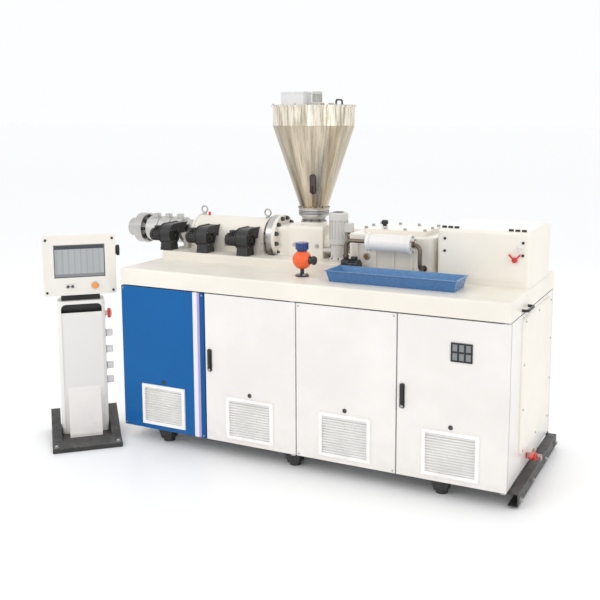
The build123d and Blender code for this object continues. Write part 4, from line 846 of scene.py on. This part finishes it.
AXIS_Y = 0.720
AXIS_Z = 1.375
DECK_Z = 1.200
BENCH_Z = 1.262
CABINET_DEPTH = 1.150
SHEET = 0.003

VENT_RISE = 0.174
VENT_WIDTH = 0.345
VENT_HEIGHT = 0.280

FRONTS = {
    "blue_panel": MACHINE,
    "left_door": LEFT_DOOR,
    "centre_panel": MACHINE,
    "right_door": RIGHT_DOOR,
}
DOORS = (("left", LEFT_DOOR), ("right", RIGHT_DOOR))

barrel_y = corner.y + AXIS_Y
rear_face = corner.y + CABINET_DEPTH


def finished(obj, name, material=bolt_steel, slot="machined_steel", body=MACHINE):
    """Gives a piece its name, its material and the body that it rides on; slot is not used."""
    obj.name = name
    obj.data.name = name
    obj.data.materials.clear()
    obj.data.materials.append(material)
    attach(obj, body)


def black_trim(obj, name, body=MACHINE):
    finished(obj, name, black_plastic, "black_plastic", body)


def screws(name, radius, height, places, axis, *trim, body=MACHINE):
    """Cap screws as one piece, by the size of a head; trim is their material and slot."""
    finished(fastened(cap_screw(radius, height), places, axis), name, *trim, body=body)


def bolts(name, across, height, places, axis, *trim):
    """Bolts or nuts as one piece, by the size of a hexagon; trim is their material and slot."""
    finished(fastened(hex_head(across, height), places, axis), name, *trim)


def barrel_circle(x, radius, count, axis, start=0):
    """Places on a circle round the barrel's axis."""
    return circle_places((x, barrel_y, AXIS_Z), radius, count, axis, start)


def above_bench(places):
    """The places that clear the cut in the bench."""
    return [place for place in places if place.z > BENCH_Z + 0.016]


def hopper_place(z, x=0.0):
    """A point at a height on the hopper's axis, or to its right by x."""
    return Vector((hopper_middle.x + x, hopper_middle.y, z))


def vent_centre(panel):
    """The middle of the vent in a front panel or door, on its front face."""
    low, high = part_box(panel)
    return Vector(((low.x + high.x) / 2, low.y, low.z + VENT_RISE))


def filter_mat(middle, inward):
    """A mat against the back of the sheet round a vent's middle."""
    margin, gap, thickness = 0.006, 0.0005, 0.0075
    faces = [middle.y + inward * (SHEET + gap), middle.y + inward * (SHEET + gap + thickness)]
    half_width = VENT_WIDTH / 2 - margin
    half_height = VENT_HEIGHT / 2 - margin
    return block(
        (middle.x - half_width, min(faces), middle.z - half_height),
        (middle.x + half_width, max(faces), middle.z + half_height),
    )


def make_filter_mats():
    """A filter mat behind each vent, front and rear."""
    for panel, body in FRONTS.items():
        front = vent_centre(panel)
        finished(filter_mat(front, 1), f"{panel}_filter_mat", felt, "white_plastic", body)
        rear = Vector((front.x, rear_face, front.z))
        finished(filter_mat(rear, -1), f"{panel}_rear_filter_mat", felt, "white_plastic")


def make_vent_locks():
    """The small quarter-turn lock over each vent."""
    rise = VENT_HEIGHT / 2 + 0.026
    profile = [(0.014, 0), (0.014, 0.003), (0.012, 0.005), (0.009, 0.005), (0.009, 0.0035)]
    for panel, body in FRONTS.items():
        middle = vent_centre(panel) + Vector((0, 0, rise))
        rim = turned(profile, middle, FRONT, steps=28)
        bar = block_at(middle, (-0.0015, -0.0046, -0.0075), (0.0015, -0.003, 0.0075))
        finished(join([rim, bar]), f"{panel}_vent_lock", dark_steel, "black_plastic", body)


def make_handle_details():
    """The ribbed finger pad and the key cylinder of each door handle."""
    rib_count, rib_step, pad_drop = 7, 0.0048, 0.060
    key_rise, key_depth = 0.0125, 0.009
    for side, body in DOORS:
        low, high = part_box(f"{side}_door_handle")
        middle = (low.x + high.x) / 2
        ribs = []
        for step in range(rib_count):
            place = (middle, low.y, high.z - pad_drop + step * rib_step)
            ribs.append(block_at(place, (-0.0065, -0.0014, 0), (0.0065, 0.001, 0.0022), 0.0005))
        black_trim(join(ribs), f"{side}_handle_ribs", body)
        key = (middle, low.y + key_depth, low.z + key_rise)
        cylinder = turned([(0.0090, 0), (0.0090, 0.0045), (0.0078, 0.0060)], key, FRONT, steps=24)
        finished(cylinder, f"{side}_key_cylinder", body=body)
        keyhole = block_at(key, (-0.0008, -0.0063, -0.004), (0.0008, -0.0052, 0.004))
        black_trim(keyhole, f"{side}_keyhole", body)


def make_indicator_windows():
    """Grey windows sunk in the indicator plate."""
    columns, rows, gap, border = 3, 2, 0.009, 0.001
    low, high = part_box("indicator_plate")
    width = (high.x - low.x - gap * (columns + 1)) / columns
    height = (high.z - low.z - gap * (rows + 1)) / rows
    panes = []
    for column in range(columns):
        for row in range(rows):
            place = (
                low.x + gap + column * (width + gap), low.y, low.z + gap + row * (height + gap)
            )
            near = (border, 0.0010, border)
            panes.append(block_at(place, near, (width - border, 0.0032, height - border), 0.0008))
    finished(join(panes), "indicator_windows", meter_glass, "dark_glass", RIGHT_DOOR)


def make_door_stiffeners():
    """Two folded stiffeners down the inside of each door, seen when it is open."""
    half_width, depth, foot, head = 0.024, 0.017, 0.36, 0.06
    for side, body in DOORS:
        low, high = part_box(f"{side}_door")
        bars = []
        for share in (0.28, 0.72):
            x = low.x + share * (high.x - low.x)
            near = (x - half_width, low.y + SHEET, low.z + foot)
            bars.append(block(near, (x + half_width, low.y + depth, high.z - head), 0.004))
        finished(join(bars), f"{side}_door_stiffeners", warm_white, "white_paint", body)


def make_panel_screws():
    """Screws in the edges of the fixed front panels, the rear panels and the left end wall."""
    inset, wall_inset = 0.016, 0.030
    head = (0.0055, 0.0035)
    front_places = []
    rear_places = []
    for panel in FRONTS:
        low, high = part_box(panel)
        across = spread(low.x, high.x, inset)
        if panel.endswith("_panel"):
            front_places += grid(across, [low.y], spread(low.z, high.z, inset))
        rear_places += grid(across, [rear_face], spread(low.z, high.z, inset, 3))
    low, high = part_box("end_walls")
    along = spread(low.y, high.y, wall_inset, 3)
    wall_places = grid([low.x], along, spread(low.z, high.z, wall_inset, 3))
    screws("front_panel_screws", *head, front_places, FRONT)
    screws("rear_panel_screws", *head, rear_places, REAR)
    screws("left_wall_screws", *head, wall_places, LEFT)


def make_end_details():
    """Screws round the end cover, bolts through the end beam and the drain valve's fittings."""
    inset, row_inset, side_inset = 0.024, 0.044, 0.280
    low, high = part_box("end_cover")
    places = grid([high.x], spread(low.y, high.y, row_inset, 3), spread(low.z, high.z, inset))
    places += grid([high.x], spread(low.y, high.y, inset), spread(low.z, high.z, side_inset))
    screws("end_cover_screws", 0.0065, 0.004, places, RIGHT)

    outer_inset, inner_inset, drop = 0.05, 0.36, 0.012
    low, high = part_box("end_beam")
    along = spread(low.y, high.y, outer_inset) + spread(low.y, high.y, inner_inset)
    places = grid([high.x], along, [(low.z + high.z) / 2 - drop])
    bolts("end_beam_bolts", 0.024, 0.012, places, RIGHT)

    low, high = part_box("drain_valve")
    middle = (low.x + high.x) / 2
    lever = (middle, low.y, high.z)
    sleeve = block_at(lever, (-0.011, 0.001, -0.0115), (0.011, 0.086, 0.003), 0.0035, 3)
    finished(sleeve, "drain_valve_sleeve", red_plastic, "red_paint")
    pipe_y, pipe_z = corner.y + 0.480, 0.160
    collar_shifts, mouth_setback = (-0.038, 0.025), 0.0062
    collar = [(0.021, 0), (0.021, 0.013)]
    mouth = [(0.0195, 0), (0.0195, 0.004), (0.017, 0.006)]
    stem_nut = [(0.010, 0), (0.010, 0.007), (0.006, 0.010)]
    fittings = [
        *(hexagon(collar, (middle + shift, pipe_y, pipe_z), RIGHT) for shift in collar_shifts),
        turned(mouth, (high.x - mouth_setback, pipe_y, pipe_z), RIGHT),
        hexagon(stem_nut, (middle, pipe_y, high.z)),
    ]
    finished(join(fittings), "drain_valve_fittings")


def make_adapter_bolts():
    """Screws and nuts that clamp the die adapter to the barrel, and its threads' edges."""
    clamp_circle, die_circle = 0.089, 0.052
    screw_face, nut_face = -0.030, 0.038
    low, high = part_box("die_adapter")
    places = barrel_circle(high.x + screw_face, clamp_circle, 8, LEFT)
    screws("adapter_screws", 0.0105, 0.012, places, LEFT, dark_steel)
    places = barrel_circle(high.x + nut_face, clamp_circle, 8, RIGHT)
    bolts("adapter_nuts", 0.021, 0.013, places, RIGHT, dark_steel)
    places = barrel_circle(low.x, die_circle, 8, LEFT)
    edges = [ring(0.0068, 0.0009, place, LEFT, around=20, across=6) for place in places]
    finished(join(edges), "die_face_thread_edges")


def make_feed_bolts():
    """Bolts through the flanges between barrel and throat and between throat and lantern."""
    flange_front, flange_back, lantern_face = 0.806, 0.876, 1.282
    flange_circle, lantern_circle = 0.134, 0.0972
    places = above_bench(barrel_circle(corner.x + flange_front, flange_circle, 12, LEFT, 15))
    bolts("feed_flange_bolts", 0.024, 0.013, places, LEFT, dark_steel)
    places = above_bench(barrel_circle(corner.x + flange_back, flange_circle, 12, RIGHT, 15))
    bolts("feed_flange_nuts", 0.024, 0.015, places, RIGHT, dark_steel)
    places = above_bench(barrel_circle(corner.x + lantern_face, lantern_circle, 10, RIGHT))
    screws("lantern_screws", 0.0072, 0.009, places, RIGHT, dark_steel)


def make_throat_details():
    """Screws on the funnel's foot and the outlet flange, dark rings on the collar as painted shade
    in its grooves, and the plugs.
    """
    foot_circle, flange_circle = 0.0815, 0.1032
    foot_rise, flange_rise = 0.008, 0.009
    plug_reach, plug_setback, plug_z = 0.085, 0.128, 1.345
    low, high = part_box("feeder_collar")
    places = circle_places(hopper_place(low.z + foot_rise), foot_circle, 8, UP, 11)
    screws("funnel_screws", 0.0055, 0.006, places, UP, dark_steel)
    places = circle_places(hopper_place(high.z + flange_rise), flange_circle, 8, UP, 22)
    bolts("outlet_flange_screws", 0.0105, 0.006, places, UP)
    # Dark steel rings on the collar stand in for the shade in its grooves: painted shade.
    bands = [
        ring(0.1043, 0.0022, hopper_place(high.z - drop), UP, around=64, across=8)
        for drop in (0.024, 0.014, 0.034)
    ]
    finished(join(bands), "collar_groove_shade", dark_steel)
    face = barrel_y - plug_setback
    plug = [(0.015, 0), (0.015, 0.007), (0.013, 0.009)]
    across = sides(plug_reach, hopper_middle.x)
    plugs = [hexagon(plug, (x, face, plug_z), FRONT) for x in across]
    finished(join(plugs), "throat_plugs")


def make_gearbox_details():
    """The gearbox's bolts, breather and oil sight."""
    case_left, case_right, half_depth = 1.470, 2.060, 0.225
    corner_inset, between_ribs, lid_inset, end_inset = 0.092, (0.2275, 0.3625), 0.090, 0.088
    foot_shifts, foot_reach, foot_height = (0.134, 0.259, 0.384, 0.510), 0.018, 0.030
    cap_face, cap_circle = 0.014, 0.078
    breather_x, breather_y, sight_x, sight_z = 0.160, 0.02, 0.135, 1.318
    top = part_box("gearbox")[1].z
    left, right = corner.x + case_left, corner.x + case_right
    front, back = sides(half_depth, barrel_y)
    across = [left + shift for shift in (corner_inset, *between_ribs)] + [right - corner_inset]
    places = grid(across, spread(front, back, lid_inset), [top])
    places += grid(spread(left, right, end_inset), [barrel_y], [top])
    bolts("gearbox_lid_bolts", 0.019, 0.011, places, UP)
    across = [left + shift for shift in foot_shifts]
    places = grid(across, spread(front, back, -foot_reach), [DECK_Z + foot_height])
    bolts("gearbox_foot_bolts", 0.024, 0.014, places, UP, dark_steel)
    places = barrel_circle(right + cap_face, cap_circle, 8, RIGHT, 22)
    screws("bearing_cap_screws", 0.0065, 0.007, places, RIGHT, dark_steel)

    breather = [(0.014, 0), (0.014, 0.010), (0.022, 0.012), (0.022, 0.034), (0.017, 0.040)]
    place = (left + breather_x, barrel_y + breather_y, top)
    black_trim(turned(breather, place, UP, steps=28), "gearbox_breather")
    place = (left + sight_x, front, sight_z)
    rim = [(0.024, 0), (0.024, 0.006), (0.020, 0.009), (0.015, 0.009), (0.015, 0.005)]
    finished(turned(rim, place, FRONT), "oil_sight_ring")
    glass = turned([(0.0148, 0), (0.0148, 0.006)], place, FRONT, steps=24)
    finished(glass, "oil_sight_glass", oil_glass, "dark_glass")


def make_oil_details():
    """Screws on the cooler's heads and the pump, and the pump motor's terminal box."""
    axis_y, axis_z, head_circle = corner.y + 0.416, 1.426, 0.048
    screw_reach, screw_heights = 0.023, (1.243, 1.289)
    motor_setback, motor_top = 0.040, 1.300
    low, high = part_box("oil_cooler")
    heads = []
    for x, axis in ((low.x, LEFT), (high.x, RIGHT)):
        places = circle_places((x, axis_y, axis_z), head_circle, 6, axis, 30)
        heads.append(fastened(hex_head(0.012, 0.007), places, axis))
    finished(join(heads), "cooler_head_screws")
    low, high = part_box("oil_pump")
    places = grid([low.x], sides(screw_reach, axis_y), screw_heights)
    screws("pump_screws", 0.005, 0.005, places, LEFT)
    place = (high.x - motor_setback, axis_y, motor_top)
    terminals = block_at(place, (-0.018, -0.016, 0), (0.018, 0.016, 0.024), 0.003, 3)
    black_trim(terminals, "pump_terminal_box")


def make_blower_details():
    """Screws on each fan's rim, and its motor's terminal box with a gland and screws."""
    rim_setback, axle_y, axle_rise, rim_circle = 0.008, 0.492, 0.104, 0.0585
    motor_setback = 0.142
    gland = [(0.008, 0), (0.008, 0.006), (0.0065, 0.012)]
    for number in (1, 2, 3):
        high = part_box(f"blower_{number}")[1]
        rim = Vector((high.x - rim_setback, corner.y + axle_y, BENCH_Z + axle_rise))
        places = circle_places(rim, rim_circle, 4, RIGHT, 45)
        screws(f"blower_{number}_rim_screws", 0.0032, 0.003, places, RIGHT)
        motor = rim - Vector((motor_setback, 0, 0))
        box = block_at(motor, (-0.021, -0.020, 0.040), (0.021, 0.020, 0.066), 0.003, 3)
        gland_place = motor + Vector((0, -0.020, 0.053))
        terminals = join([box, turned(gland, gland_place, FRONT, steps=12)])
        black_trim(terminals, f"blower_{number}_terminal_box")
        places = grid(sides(0.015, motor.x), sides(0.014, motor.y), [motor.z + 0.066])
        screws(f"blower_{number}_box_screws", 0.0024, 0.0015, places, UP)


def make_band_details():
    """Screws and a cable gland on each heater band's terminal box."""
    first, pitch, half_band, thickness, box_rise = -0.214, 0.104, 0.048, 0.016, 0.022
    tip, length, tip_radius, widening = -0.330, 1.180, 0.072, 0.026
    screw_reach, screw_depth, gland_setback, gland_drop = 0.014, 0.016, 0.022, 0.011
    gland = [(0.008, 0), (0.008, 0.007), (0.006, 0.014)]
    places = []
    glands = []
    for number in range(3):
        middle = first + number * pitch
        radius = tip_radius + (middle + half_band - tip) / length * widening
        top = AXIS_Z + radius + thickness + box_rise
        x = corner.x + middle
        places += grid(sides(screw_reach, x), sides(screw_depth, barrel_y), [top])
        place = (x, barrel_y + gland_setback, top - gland_drop)
        glands.append(turned(gland, place, REAR, steps=12))
    screws("band_box_screws", 0.0026, 0.0016, places, UP)
    black_trim(join(glands), "band_glands")


def make_cover_details():
    """Latches and screws on the barrel cover, the small red plug and the eyes' nuts."""
    half_depth, rim_inset, rim_lift, rim_heights = 0.126, 0.008, 0.005, (1.285, 1.335)
    latch_places, latch_foot = (0.470, 0.584), 1.300
    plug_x, plug_shift, plug_rise = 0.262, 0.012, 0.1254
    eye_places, eye_rise = (0.212, 0.744), 0.1255
    low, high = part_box("barrel_cover")
    front = barrel_y - half_depth
    places = grid(spread(low.x, high.x, rim_inset), [front - rim_lift], rim_heights)
    screws("cover_rim_screws", 0.0045, 0.003, places, FRONT)
    latches = []
    for x in latch_places:
        foot = Vector((corner.x + x, front, latch_foot))
        latches += [
            block_at(foot, (-0.011, -0.003, 0), (0.011, 0.001, 0.052), 0.001),
            block_at(foot, (-0.008, -0.009, 0.006), (0.008, -0.002, 0.040), 0.0025, 3),
            ring(0.008, 0.0016, foot + Vector((0, -0.005, 0.046)), FRONT, around=24, across=8),
        ]
    finished(join(latches), "cover_latches")
    plug = [(0.010, 0), (0.010, 0.018), (0.007, 0.024)]
    place = on_machine(plug_x, AXIS_Y - plug_shift, AXIS_Z + plug_rise)
    finished(turned(plug, place, UP, steps=24), "cover_plug", red_plastic, "red_paint")
    nut = [(0.017, 0), (0.017, 0.006), (0.015, 0.008)]
    nuts = [hexagon(nut, on_machine(x, AXIS_Y, AXIS_Z + eye_rise)) for x in eye_places]
    finished(join(nuts), "eye_nuts")


def make_sight_frame():
    """The bead round the sight glass, lying on the cone's slope, and its screws."""
    angle, rise = math.radians(-66), 0.176
    half_straight, half_width, lift, sink = 0.0505, 0.0195, 0.0012, 0.0005
    outward = Vector((math.cos(angle), math.sin(angle), 0))
    across = Vector((-math.sin(angle), math.cos(angle), 0))
    slope = (CONE_RIM - CONE_FOOT) / CONE_HEIGHT
    upward = (outward * slope + Vector(UP)).normalized()
    normal = across.cross(upward).normalized()
    centre = hopper_place(hopper_low.z + rise) + outward * (CONE_FOOT + slope * rise)
    path = []
    for end, start in ((half_straight, 0), (-half_straight, math.pi)):
        for step in range(13):
            turn = start + math.pi * step / 12
            path.append((math.cos(turn) * half_width, end + math.sin(turn) * half_width))
    path.append(path[0])
    points = [centre + across * x + upward * y + normal * lift for x, y in path]
    black_trim(tube(points, 0.0036, resolution=3), "sight_glass_bead")
    places = []
    for x in sides(0.0252):
        for y in sides(0.05504):
            places.append(centre + across * x + upward * y - normal * sink)
    screws("sight_glass_screws", 0.0034, 0.004, places, normal)


def make_hopper_details():
    """The weld beads on the hopper, the bolts in its lid and the lid box's screws and gland."""
    weld = ring(CONE_RIM, 0.0016, hopper_place(cone_top), UP, around=120, across=8)
    finished(weld, "hopper_weld", stainless, "stainless")
    seam_foot, seam_head, foot_lift, shell_lift = 0.010, 0.012, 0.002, 0.0002
    line = [
        hopper_place(hopper_low.z + seam_foot, CONE_FOOT + foot_lift),
        hopper_place(cone_top, CONE_RIM + shell_lift),
        hopper_place(hopper_high.z - seam_head, CONE_RIM + shell_lift),
    ]
    finished(tube(line, 0.0012), "hopper_seam", stainless, "stainless")
    lid_circle, lid_top, flap_edge = 0.278, 0.003, 0.05
    places = circle_places(hopper_place(hopper_high.z + lid_top), lid_circle, 7, UP, 90)
    places = [place for place in places if place.x < hopper_middle.x + flap_edge]
    bolts("lid_screws", 0.012, 0.006, places, UP)
    low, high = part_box("lid_box")
    inset, sink = 0.016, 0.0021
    places = grid(spread(low.x, high.x, inset), spread(low.y, high.y, inset), [high.z - sink])
    screws("lid_box_screws", 0.004, 0.002, places, UP, dark_steel, "black_plastic")
    gland = [(0.012, 0), (0.012, 0.008), (0.009, 0.018)]
    place = (low.x + 0.004, hopper_middle.y, low.z + 0.040)
    black_trim(turned(gland, place, LEFT, steps=14), "lid_box_gland")


def make_flap_details():
    """Small screws in the flap's hinge leaves and the feet of its handle."""
    leaf_top, leaf_x, leaf_y, screw_reach = 0.0063, 0.110, 0.075, 0.006
    foot_inset = 0.006
    leaf = hopper_place(hopper_high.z + leaf_top, leaf_x)
    along = sides(screw_reach, leaf.y - leaf_y) + sides(screw_reach, leaf.y + leaf_y)
    screws("flap_hinge_screws", 0.0024, 0.0015, grid([leaf.x], along, [leaf.z]), UP, body=LID_FLAP)
    low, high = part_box("lid_handle")
    foot = [(0.0115, 0), (0.0115, 0.003), (0.008, 0.006)]
    places = grid([(low.x + high.x) / 2], spread(low.y, high.y, foot_inset), [low.z])
    feet = [turned(foot, place, UP, steps=24) for place in places]
    finished(join(feet), "lid_handle_feet", body=LID_FLAP)


def make_feeder_details():
    """The feeder motor's cowl grid, terminal-box lid and gland, and the case's bolts."""
    drive_x, drive_y, cowl_lift, box_rise = 1.366, 0.574, 0.0004, 0.226
    foot_rise, foot_circle = 0.013, 0.0580
    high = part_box("feeder_drive")[1]
    x, y = corner.x + drive_x, corner.y + drive_y
    cowl = Vector((x, y, high.z + cowl_lift))
    bars = [ring(radius, 0.0016, cowl, UP, 40, 8) for radius in (0.014, 0.025, 0.036)]
    for step in range(4):
        angle = math.pi * step / 4
        arm = Vector((math.cos(angle), math.sin(angle), 0)) * 0.040
        bars.append(tube([cowl - arm, cowl + arm], 0.0014))
    finished(join(bars), "feeder_cowl_grid", dark_steel, "black_plastic")
    box = Vector((high.x, y, BENCH_Z + box_rise))
    lid = block_at(box, (-0.004, -0.031, -0.031), (0.0015, 0.031, 0.031), 0.003, 3)
    finished(lid, "feeder_box_lid", pale_grey, "grey_paint")
    gland = [(0.010, 0), (0.010, 0.008), (0.0075, 0.016)]
    black_trim(turned(gland, box - Vector((0.020, 0, 0.029)), DOWN, steps=14), "feeder_gland")
    places = circle_places((x, y, BENCH_Z + foot_rise), foot_circle, 8, UP, 22)
    bolts("feeder_foot_bolts", 0.0095, 0.008, places, UP, dark_steel)


def make_hood_details():
    """Two dark screws near each front edge of the hood, and the white pull ring by the lever."""
    left_inset, right_inset, drops = 0.050, 0.0445, (0.062, 0.138)
    ring_shift, ring_lift, ring_rise = 0.028, 0.006, 0.026
    hood_low, hood_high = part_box("motor_hood")
    across = (hood_low.x + left_inset, hood_high.x - right_inset)
    places = grid(across, [hood_low.y], [hood_high.z - drop for drop in drops])
    screws("hood_screws", 0.0085, 0.006, places, FRONT, black_plastic, "black_plastic")
    low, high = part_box("hood_lever")
    middle = (low.x + high.x) / 2
    place = (middle + ring_shift, hood_low.y - ring_lift, high.z + ring_rise)
    leaning = (0, -1, 0.12)
    pull = ring(0.019, 0.0034, place, leaning, around=32, across=10)
    stay = block_at(place, (-0.008, -0.003, 0.012), (0.008, 0.0065, 0.028), 0.002, 3)
    finished(join([pull, stay]), "hood_pull_ring", white_plastic, "white_plastic")


def make_valve_fittings():
    """The bolts of the vent valve's stand and the dark nut on its side port."""
    valve_x, valve_y, stand_top, stand_circle = 1.259, 0.250, 0.008, 0.032
    nut_setback, port_rise = 0.0215, 0.107
    foot = on_machine(valve_x, valve_y, DECK_Z + stand_top)
    places = circle_places(foot, stand_circle, 4, UP, 45)
    bolts("valve_stand_bolts", 0.013, 0.008, places, UP)
    nut = [(0.029, 0), (0.029, 0.018), (0.0255, 0.020)]
    place = (valve_high.x - nut_setback, foot.y, DECK_Z + port_rise)
    black_trim(hexagon(nut, place, RIGHT), "valve_port_nut")


# The console's pieces, drawn round the middle of its column

BOX_BOTTOM = 1.006
BOX_FRONT = -0.075
COLUMN_REAR = 0.085
COLUMN_SIDE = 0.158


def on_console(obj):
    """Moves a piece drawn round the column's middle to its place on the floor."""
    obj.data.transform(console_matrix)
    return obj


def make_console_screws():
    """Screws in the box's front frame and rear, and in the column's rear, and floor bolts."""
    places = grid(sides(0.218), [BOX_FRONT], (BOX_BOTTOM + 0.024, BOX_BOTTOM + 0.384))
    heads = fastened(cap_screw(0.0085, 0.005), places, FRONT)
    black_trim(on_console(heads), "console_corner_screws")
    places = grid(sides(0.190), [-BOX_FRONT], (BOX_BOTTOM + 0.050, BOX_BOTTOM + 0.358))
    places += grid(sides(0.108), [COLUMN_REAR], (0.070, 0.500, 0.930))
    heads = fastened(cap_screw(0.0050, 0.0035), places, REAR)
    finished(on_console(heads), "console_rear_screws")
    places = grid(sides(0.200), (-0.332, -0.120), [0.030])
    finished(on_console(fastened(hex_head(0.022, 0.012), places, UP)), "console_base_bolts")


def make_screen_bezel():
    """The thin dark frame round the screen's glass."""
    foot, head = BOX_BOTTOM + 0.122, BOX_BOTTOM + 0.348
    half, wide = 0.168, 0.007
    near, far = BOX_FRONT + 0.0005, BOX_FRONT + 0.0045
    bars = [
        block((-half, near, foot), (half, far, foot + wide)),
        block((-half, near, head - wide), (half, far, head)),
        block((-half, near, foot + wide), (wide - half, far, head - wide)),
        block((half - wide, near, foot + wide), (half, far, head - wide)),
    ]
    finished(on_console(join(bars)), "screen_bezel", seam_grey, "black_plastic")


def make_console_buttons():
    """The start button's orange lens, the rings round the buttons and the grey caps."""
    z = BOX_BOTTOM + 0.062
    reach = BOX_FRONT - 0.014
    start_x, small_x = 0.097, (-0.082, -0.052)
    lens = [(0.0200, -0.010), (0.0200, 0.002), (0.0180, 0.005), (0.0120, 0.0065)]
    lens = on_console(turned(lens, (start_x, reach, z), FRONT, steps=40))
    finished(lens, "start_button_lens", orange_plastic, "orange_plastic")
    wide_collar = [(0.0255, 0), (0.0255, 0.003), (0.0215, 0.005)]
    small_collar = [(0.0120, 0), (0.0120, 0.002), (0.0095, 0.0035)]
    cap = [(0.0086, -0.008), (0.0086, 0.001), (0.0074, 0.002)]
    collars = [turned(wide_collar, (start_x, BOX_FRONT, z), FRONT, steps=40)]
    collars += [turned(small_collar, (x, BOX_FRONT, z), FRONT, steps=28) for x in small_x]
    caps = [turned(cap, (x, reach, z), FRONT, steps=28) for x in small_x]
    finished(on_console(join(collars)), "button_collars")
    finished(on_console(join(caps)), "small_button_caps", dark_steel, "black_plastic")


def make_side_knobs():
    """Grips and base rings on the column's knobs, the red stop button and the tilt knob."""
    base_ring = [(0.0300, 0), (0.0300, 0.003), (0.0270, 0.005)]
    rings = []
    grips = []
    for z in (0.375, 0.478, 0.595, 0.712):
        place = (COLUMN_SIDE, 0, z)
        rings.append(turned(base_ring, place, RIGHT, steps=36))
        near, far = (0.034, -0.0055, -0.0235), (0.050, 0.0055, 0.0235)
        grips.append(block_at(place, near, far, 0.0025, 3))
    finished(on_console(join(rings)), "knob_rings", dark_steel, "black_plastic")
    finished(on_console(join(grips)), "knob_grips", white_plastic, "white_plastic")

    place = (COLUMN_SIDE, 0, 0.852)
    disc = turned([(0.0440, 0), (0.0440, 0.002), (0.0425, 0.003)], place, RIGHT, steps=48)
    finished(on_console(disc), "stop_button_disc", yellow_plastic, "orange_plastic")
    mushroom = [
        (0.0200, 0.017), (0.0352, 0.0205), (0.0356, 0.030), (0.0345, 0.0375), (0.0290, 0.0435),
        (0.0180, 0.0470), (0.0060, 0.0480),
    ]
    head = turned(mushroom, place, RIGHT, steps=48)
    finished(on_console(head), "stop_button_head", red_plastic, "red_paint")

    box_side, radius = 0.240, 0.0330
    hub = [(radius, 0.012), (radius, 0.027), (0.0300, 0.032), (0.0120, 0.033)]
    lobe = [(0.0070, 0), (0.0070, 0.017), (0.0055, 0.019)]
    z = BOX_BOTTOM + 0.288
    knob = [turned(hub, (box_side, 0, z), RIGHT, steps=36)]
    for place in circle_places((box_side + 0.012, 0, z), radius, 6, RIGHT):
        knob.append(turned(lobe, place, RIGHT, steps=16))
    black_trim(on_console(join(knob)), "tilt_knob_lobes")


def make_neck_gaiter():
    """The folded black gaiter round the neck under the box."""
    count, pitch, foot, height = 5, 0.0077, 0.9672, 0.0074
    folds = []
    for step in range(count):
        reach = 0.005 if step % 2 == 0 else 0.002
        x, y, z = 0.125 + reach, 0.048 + reach, foot + step * pitch
        folds.append(block((-x, -y, z), (x, y, z + height), 0.0028))
    black_trim(on_console(join(folds)), "neck_gaiter")


# Floor, light and camera

WARM_LIGHT = (1.0, 0.985, 0.96)
WHITE_LIGHT = (1.0, 1.0, 1.0)
COOL_LIGHT = (0.96, 0.98, 1.0)
SKY = (0.985, 0.99, 1.0)
LIGHT_TARGET = (0, 0, 1.0)

# Name, place, width and height, power and colour of each lamp
LAMPS = (
    ("key", (-3.2, -6.0, 5.2), (3.2, 2.4), 76, WARM_LIGHT),
    ("front_strip", (1.6, -6.8, 2.6), (0.7, 3.0), 14, WHITE_LIGHT),
    ("side", (6.5, -2.0, 3.6), (2.0, 2.4), 44, WARM_LIGHT),
    ("top", (0, 0.6, 6.0), (4.0, 2.4), 10, WHITE_LIGHT),
    ("rear", (-1.5, 6.5, 3.5), (3.5, 1.6), 30, COOL_LIGHT),
)

CAMERA_PLACE = (3.829, -4.714, 2.227)
CAMERA_TURN = 25.7
CAMERA_TILT = 8.0
CAMERA_LENS = 53.0
CAMERA_SHIFT = (-0.046, -0.102)


def make_floor():
    bpy.ops.mesh.primitive_plane_add(size=300, location=(0, 0, 0))
    floor = bpy.context.object
    floor.name = "studio_floor"
    floor.data.materials.append(floor_finish("studio_floor"))


def make_light():
    world = bpy.data.worlds.new("studio")
    bpy.context.scene.world = world
    world.use_nodes = True
    fill(world.node_tree.nodes["Background"], Color=SKY, Strength=1.0)
    for name, place, size, power, colour in LAMPS:
        light = bpy.data.lights.new(name, "AREA")
        light.shape = "RECTANGLE"
        light.size, light.size_y = size
        light.energy = power
        light.color = colour
        lamp = bpy.data.objects.new(name, light)
        lamp.location = place
        lamp.rotation_mode = "QUATERNION"
        towards = Vector(LIGHT_TARGET) - Vector(place)
        lamp.rotation_quaternion = towards.to_track_quat("-Z", "Y")
        bpy.context.scene.collection.objects.link(lamp)


def make_camera():
    data = bpy.data.cameras.new("camera")
    data.lens = CAMERA_LENS
    data.shift_x, data.shift_y = CAMERA_SHIFT
    camera = bpy.data.objects.new("camera", data)
    camera.location = on_machine(*CAMERA_PLACE)
    camera.rotation_euler = (math.radians(90 - CAMERA_TILT), 0, math.radians(CAMERA_TURN))
    bpy.context.scene.collection.objects.link(camera)
    bpy.context.scene.camera = camera


for make_pieces in (
    make_filter_mats, make_vent_locks, make_handle_details, make_indicator_windows,
    make_door_stiffeners, make_panel_screws, make_end_details, make_adapter_bolts, make_feed_bolts,
    make_throat_details, make_gearbox_details, make_oil_details, make_blower_details,
    make_band_details, make_cover_details, make_sight_frame, make_hopper_details, make_flap_details,
    make_feeder_details, make_hood_details, make_valve_fittings, make_console_screws,
    make_screen_bezel, make_console_buttons, make_side_knobs, make_neck_gaiter,
):
    make_pieces()
make_floor()
make_light()
make_camera()
bpy.context.scene.view_settings.view_transform = "Standard"
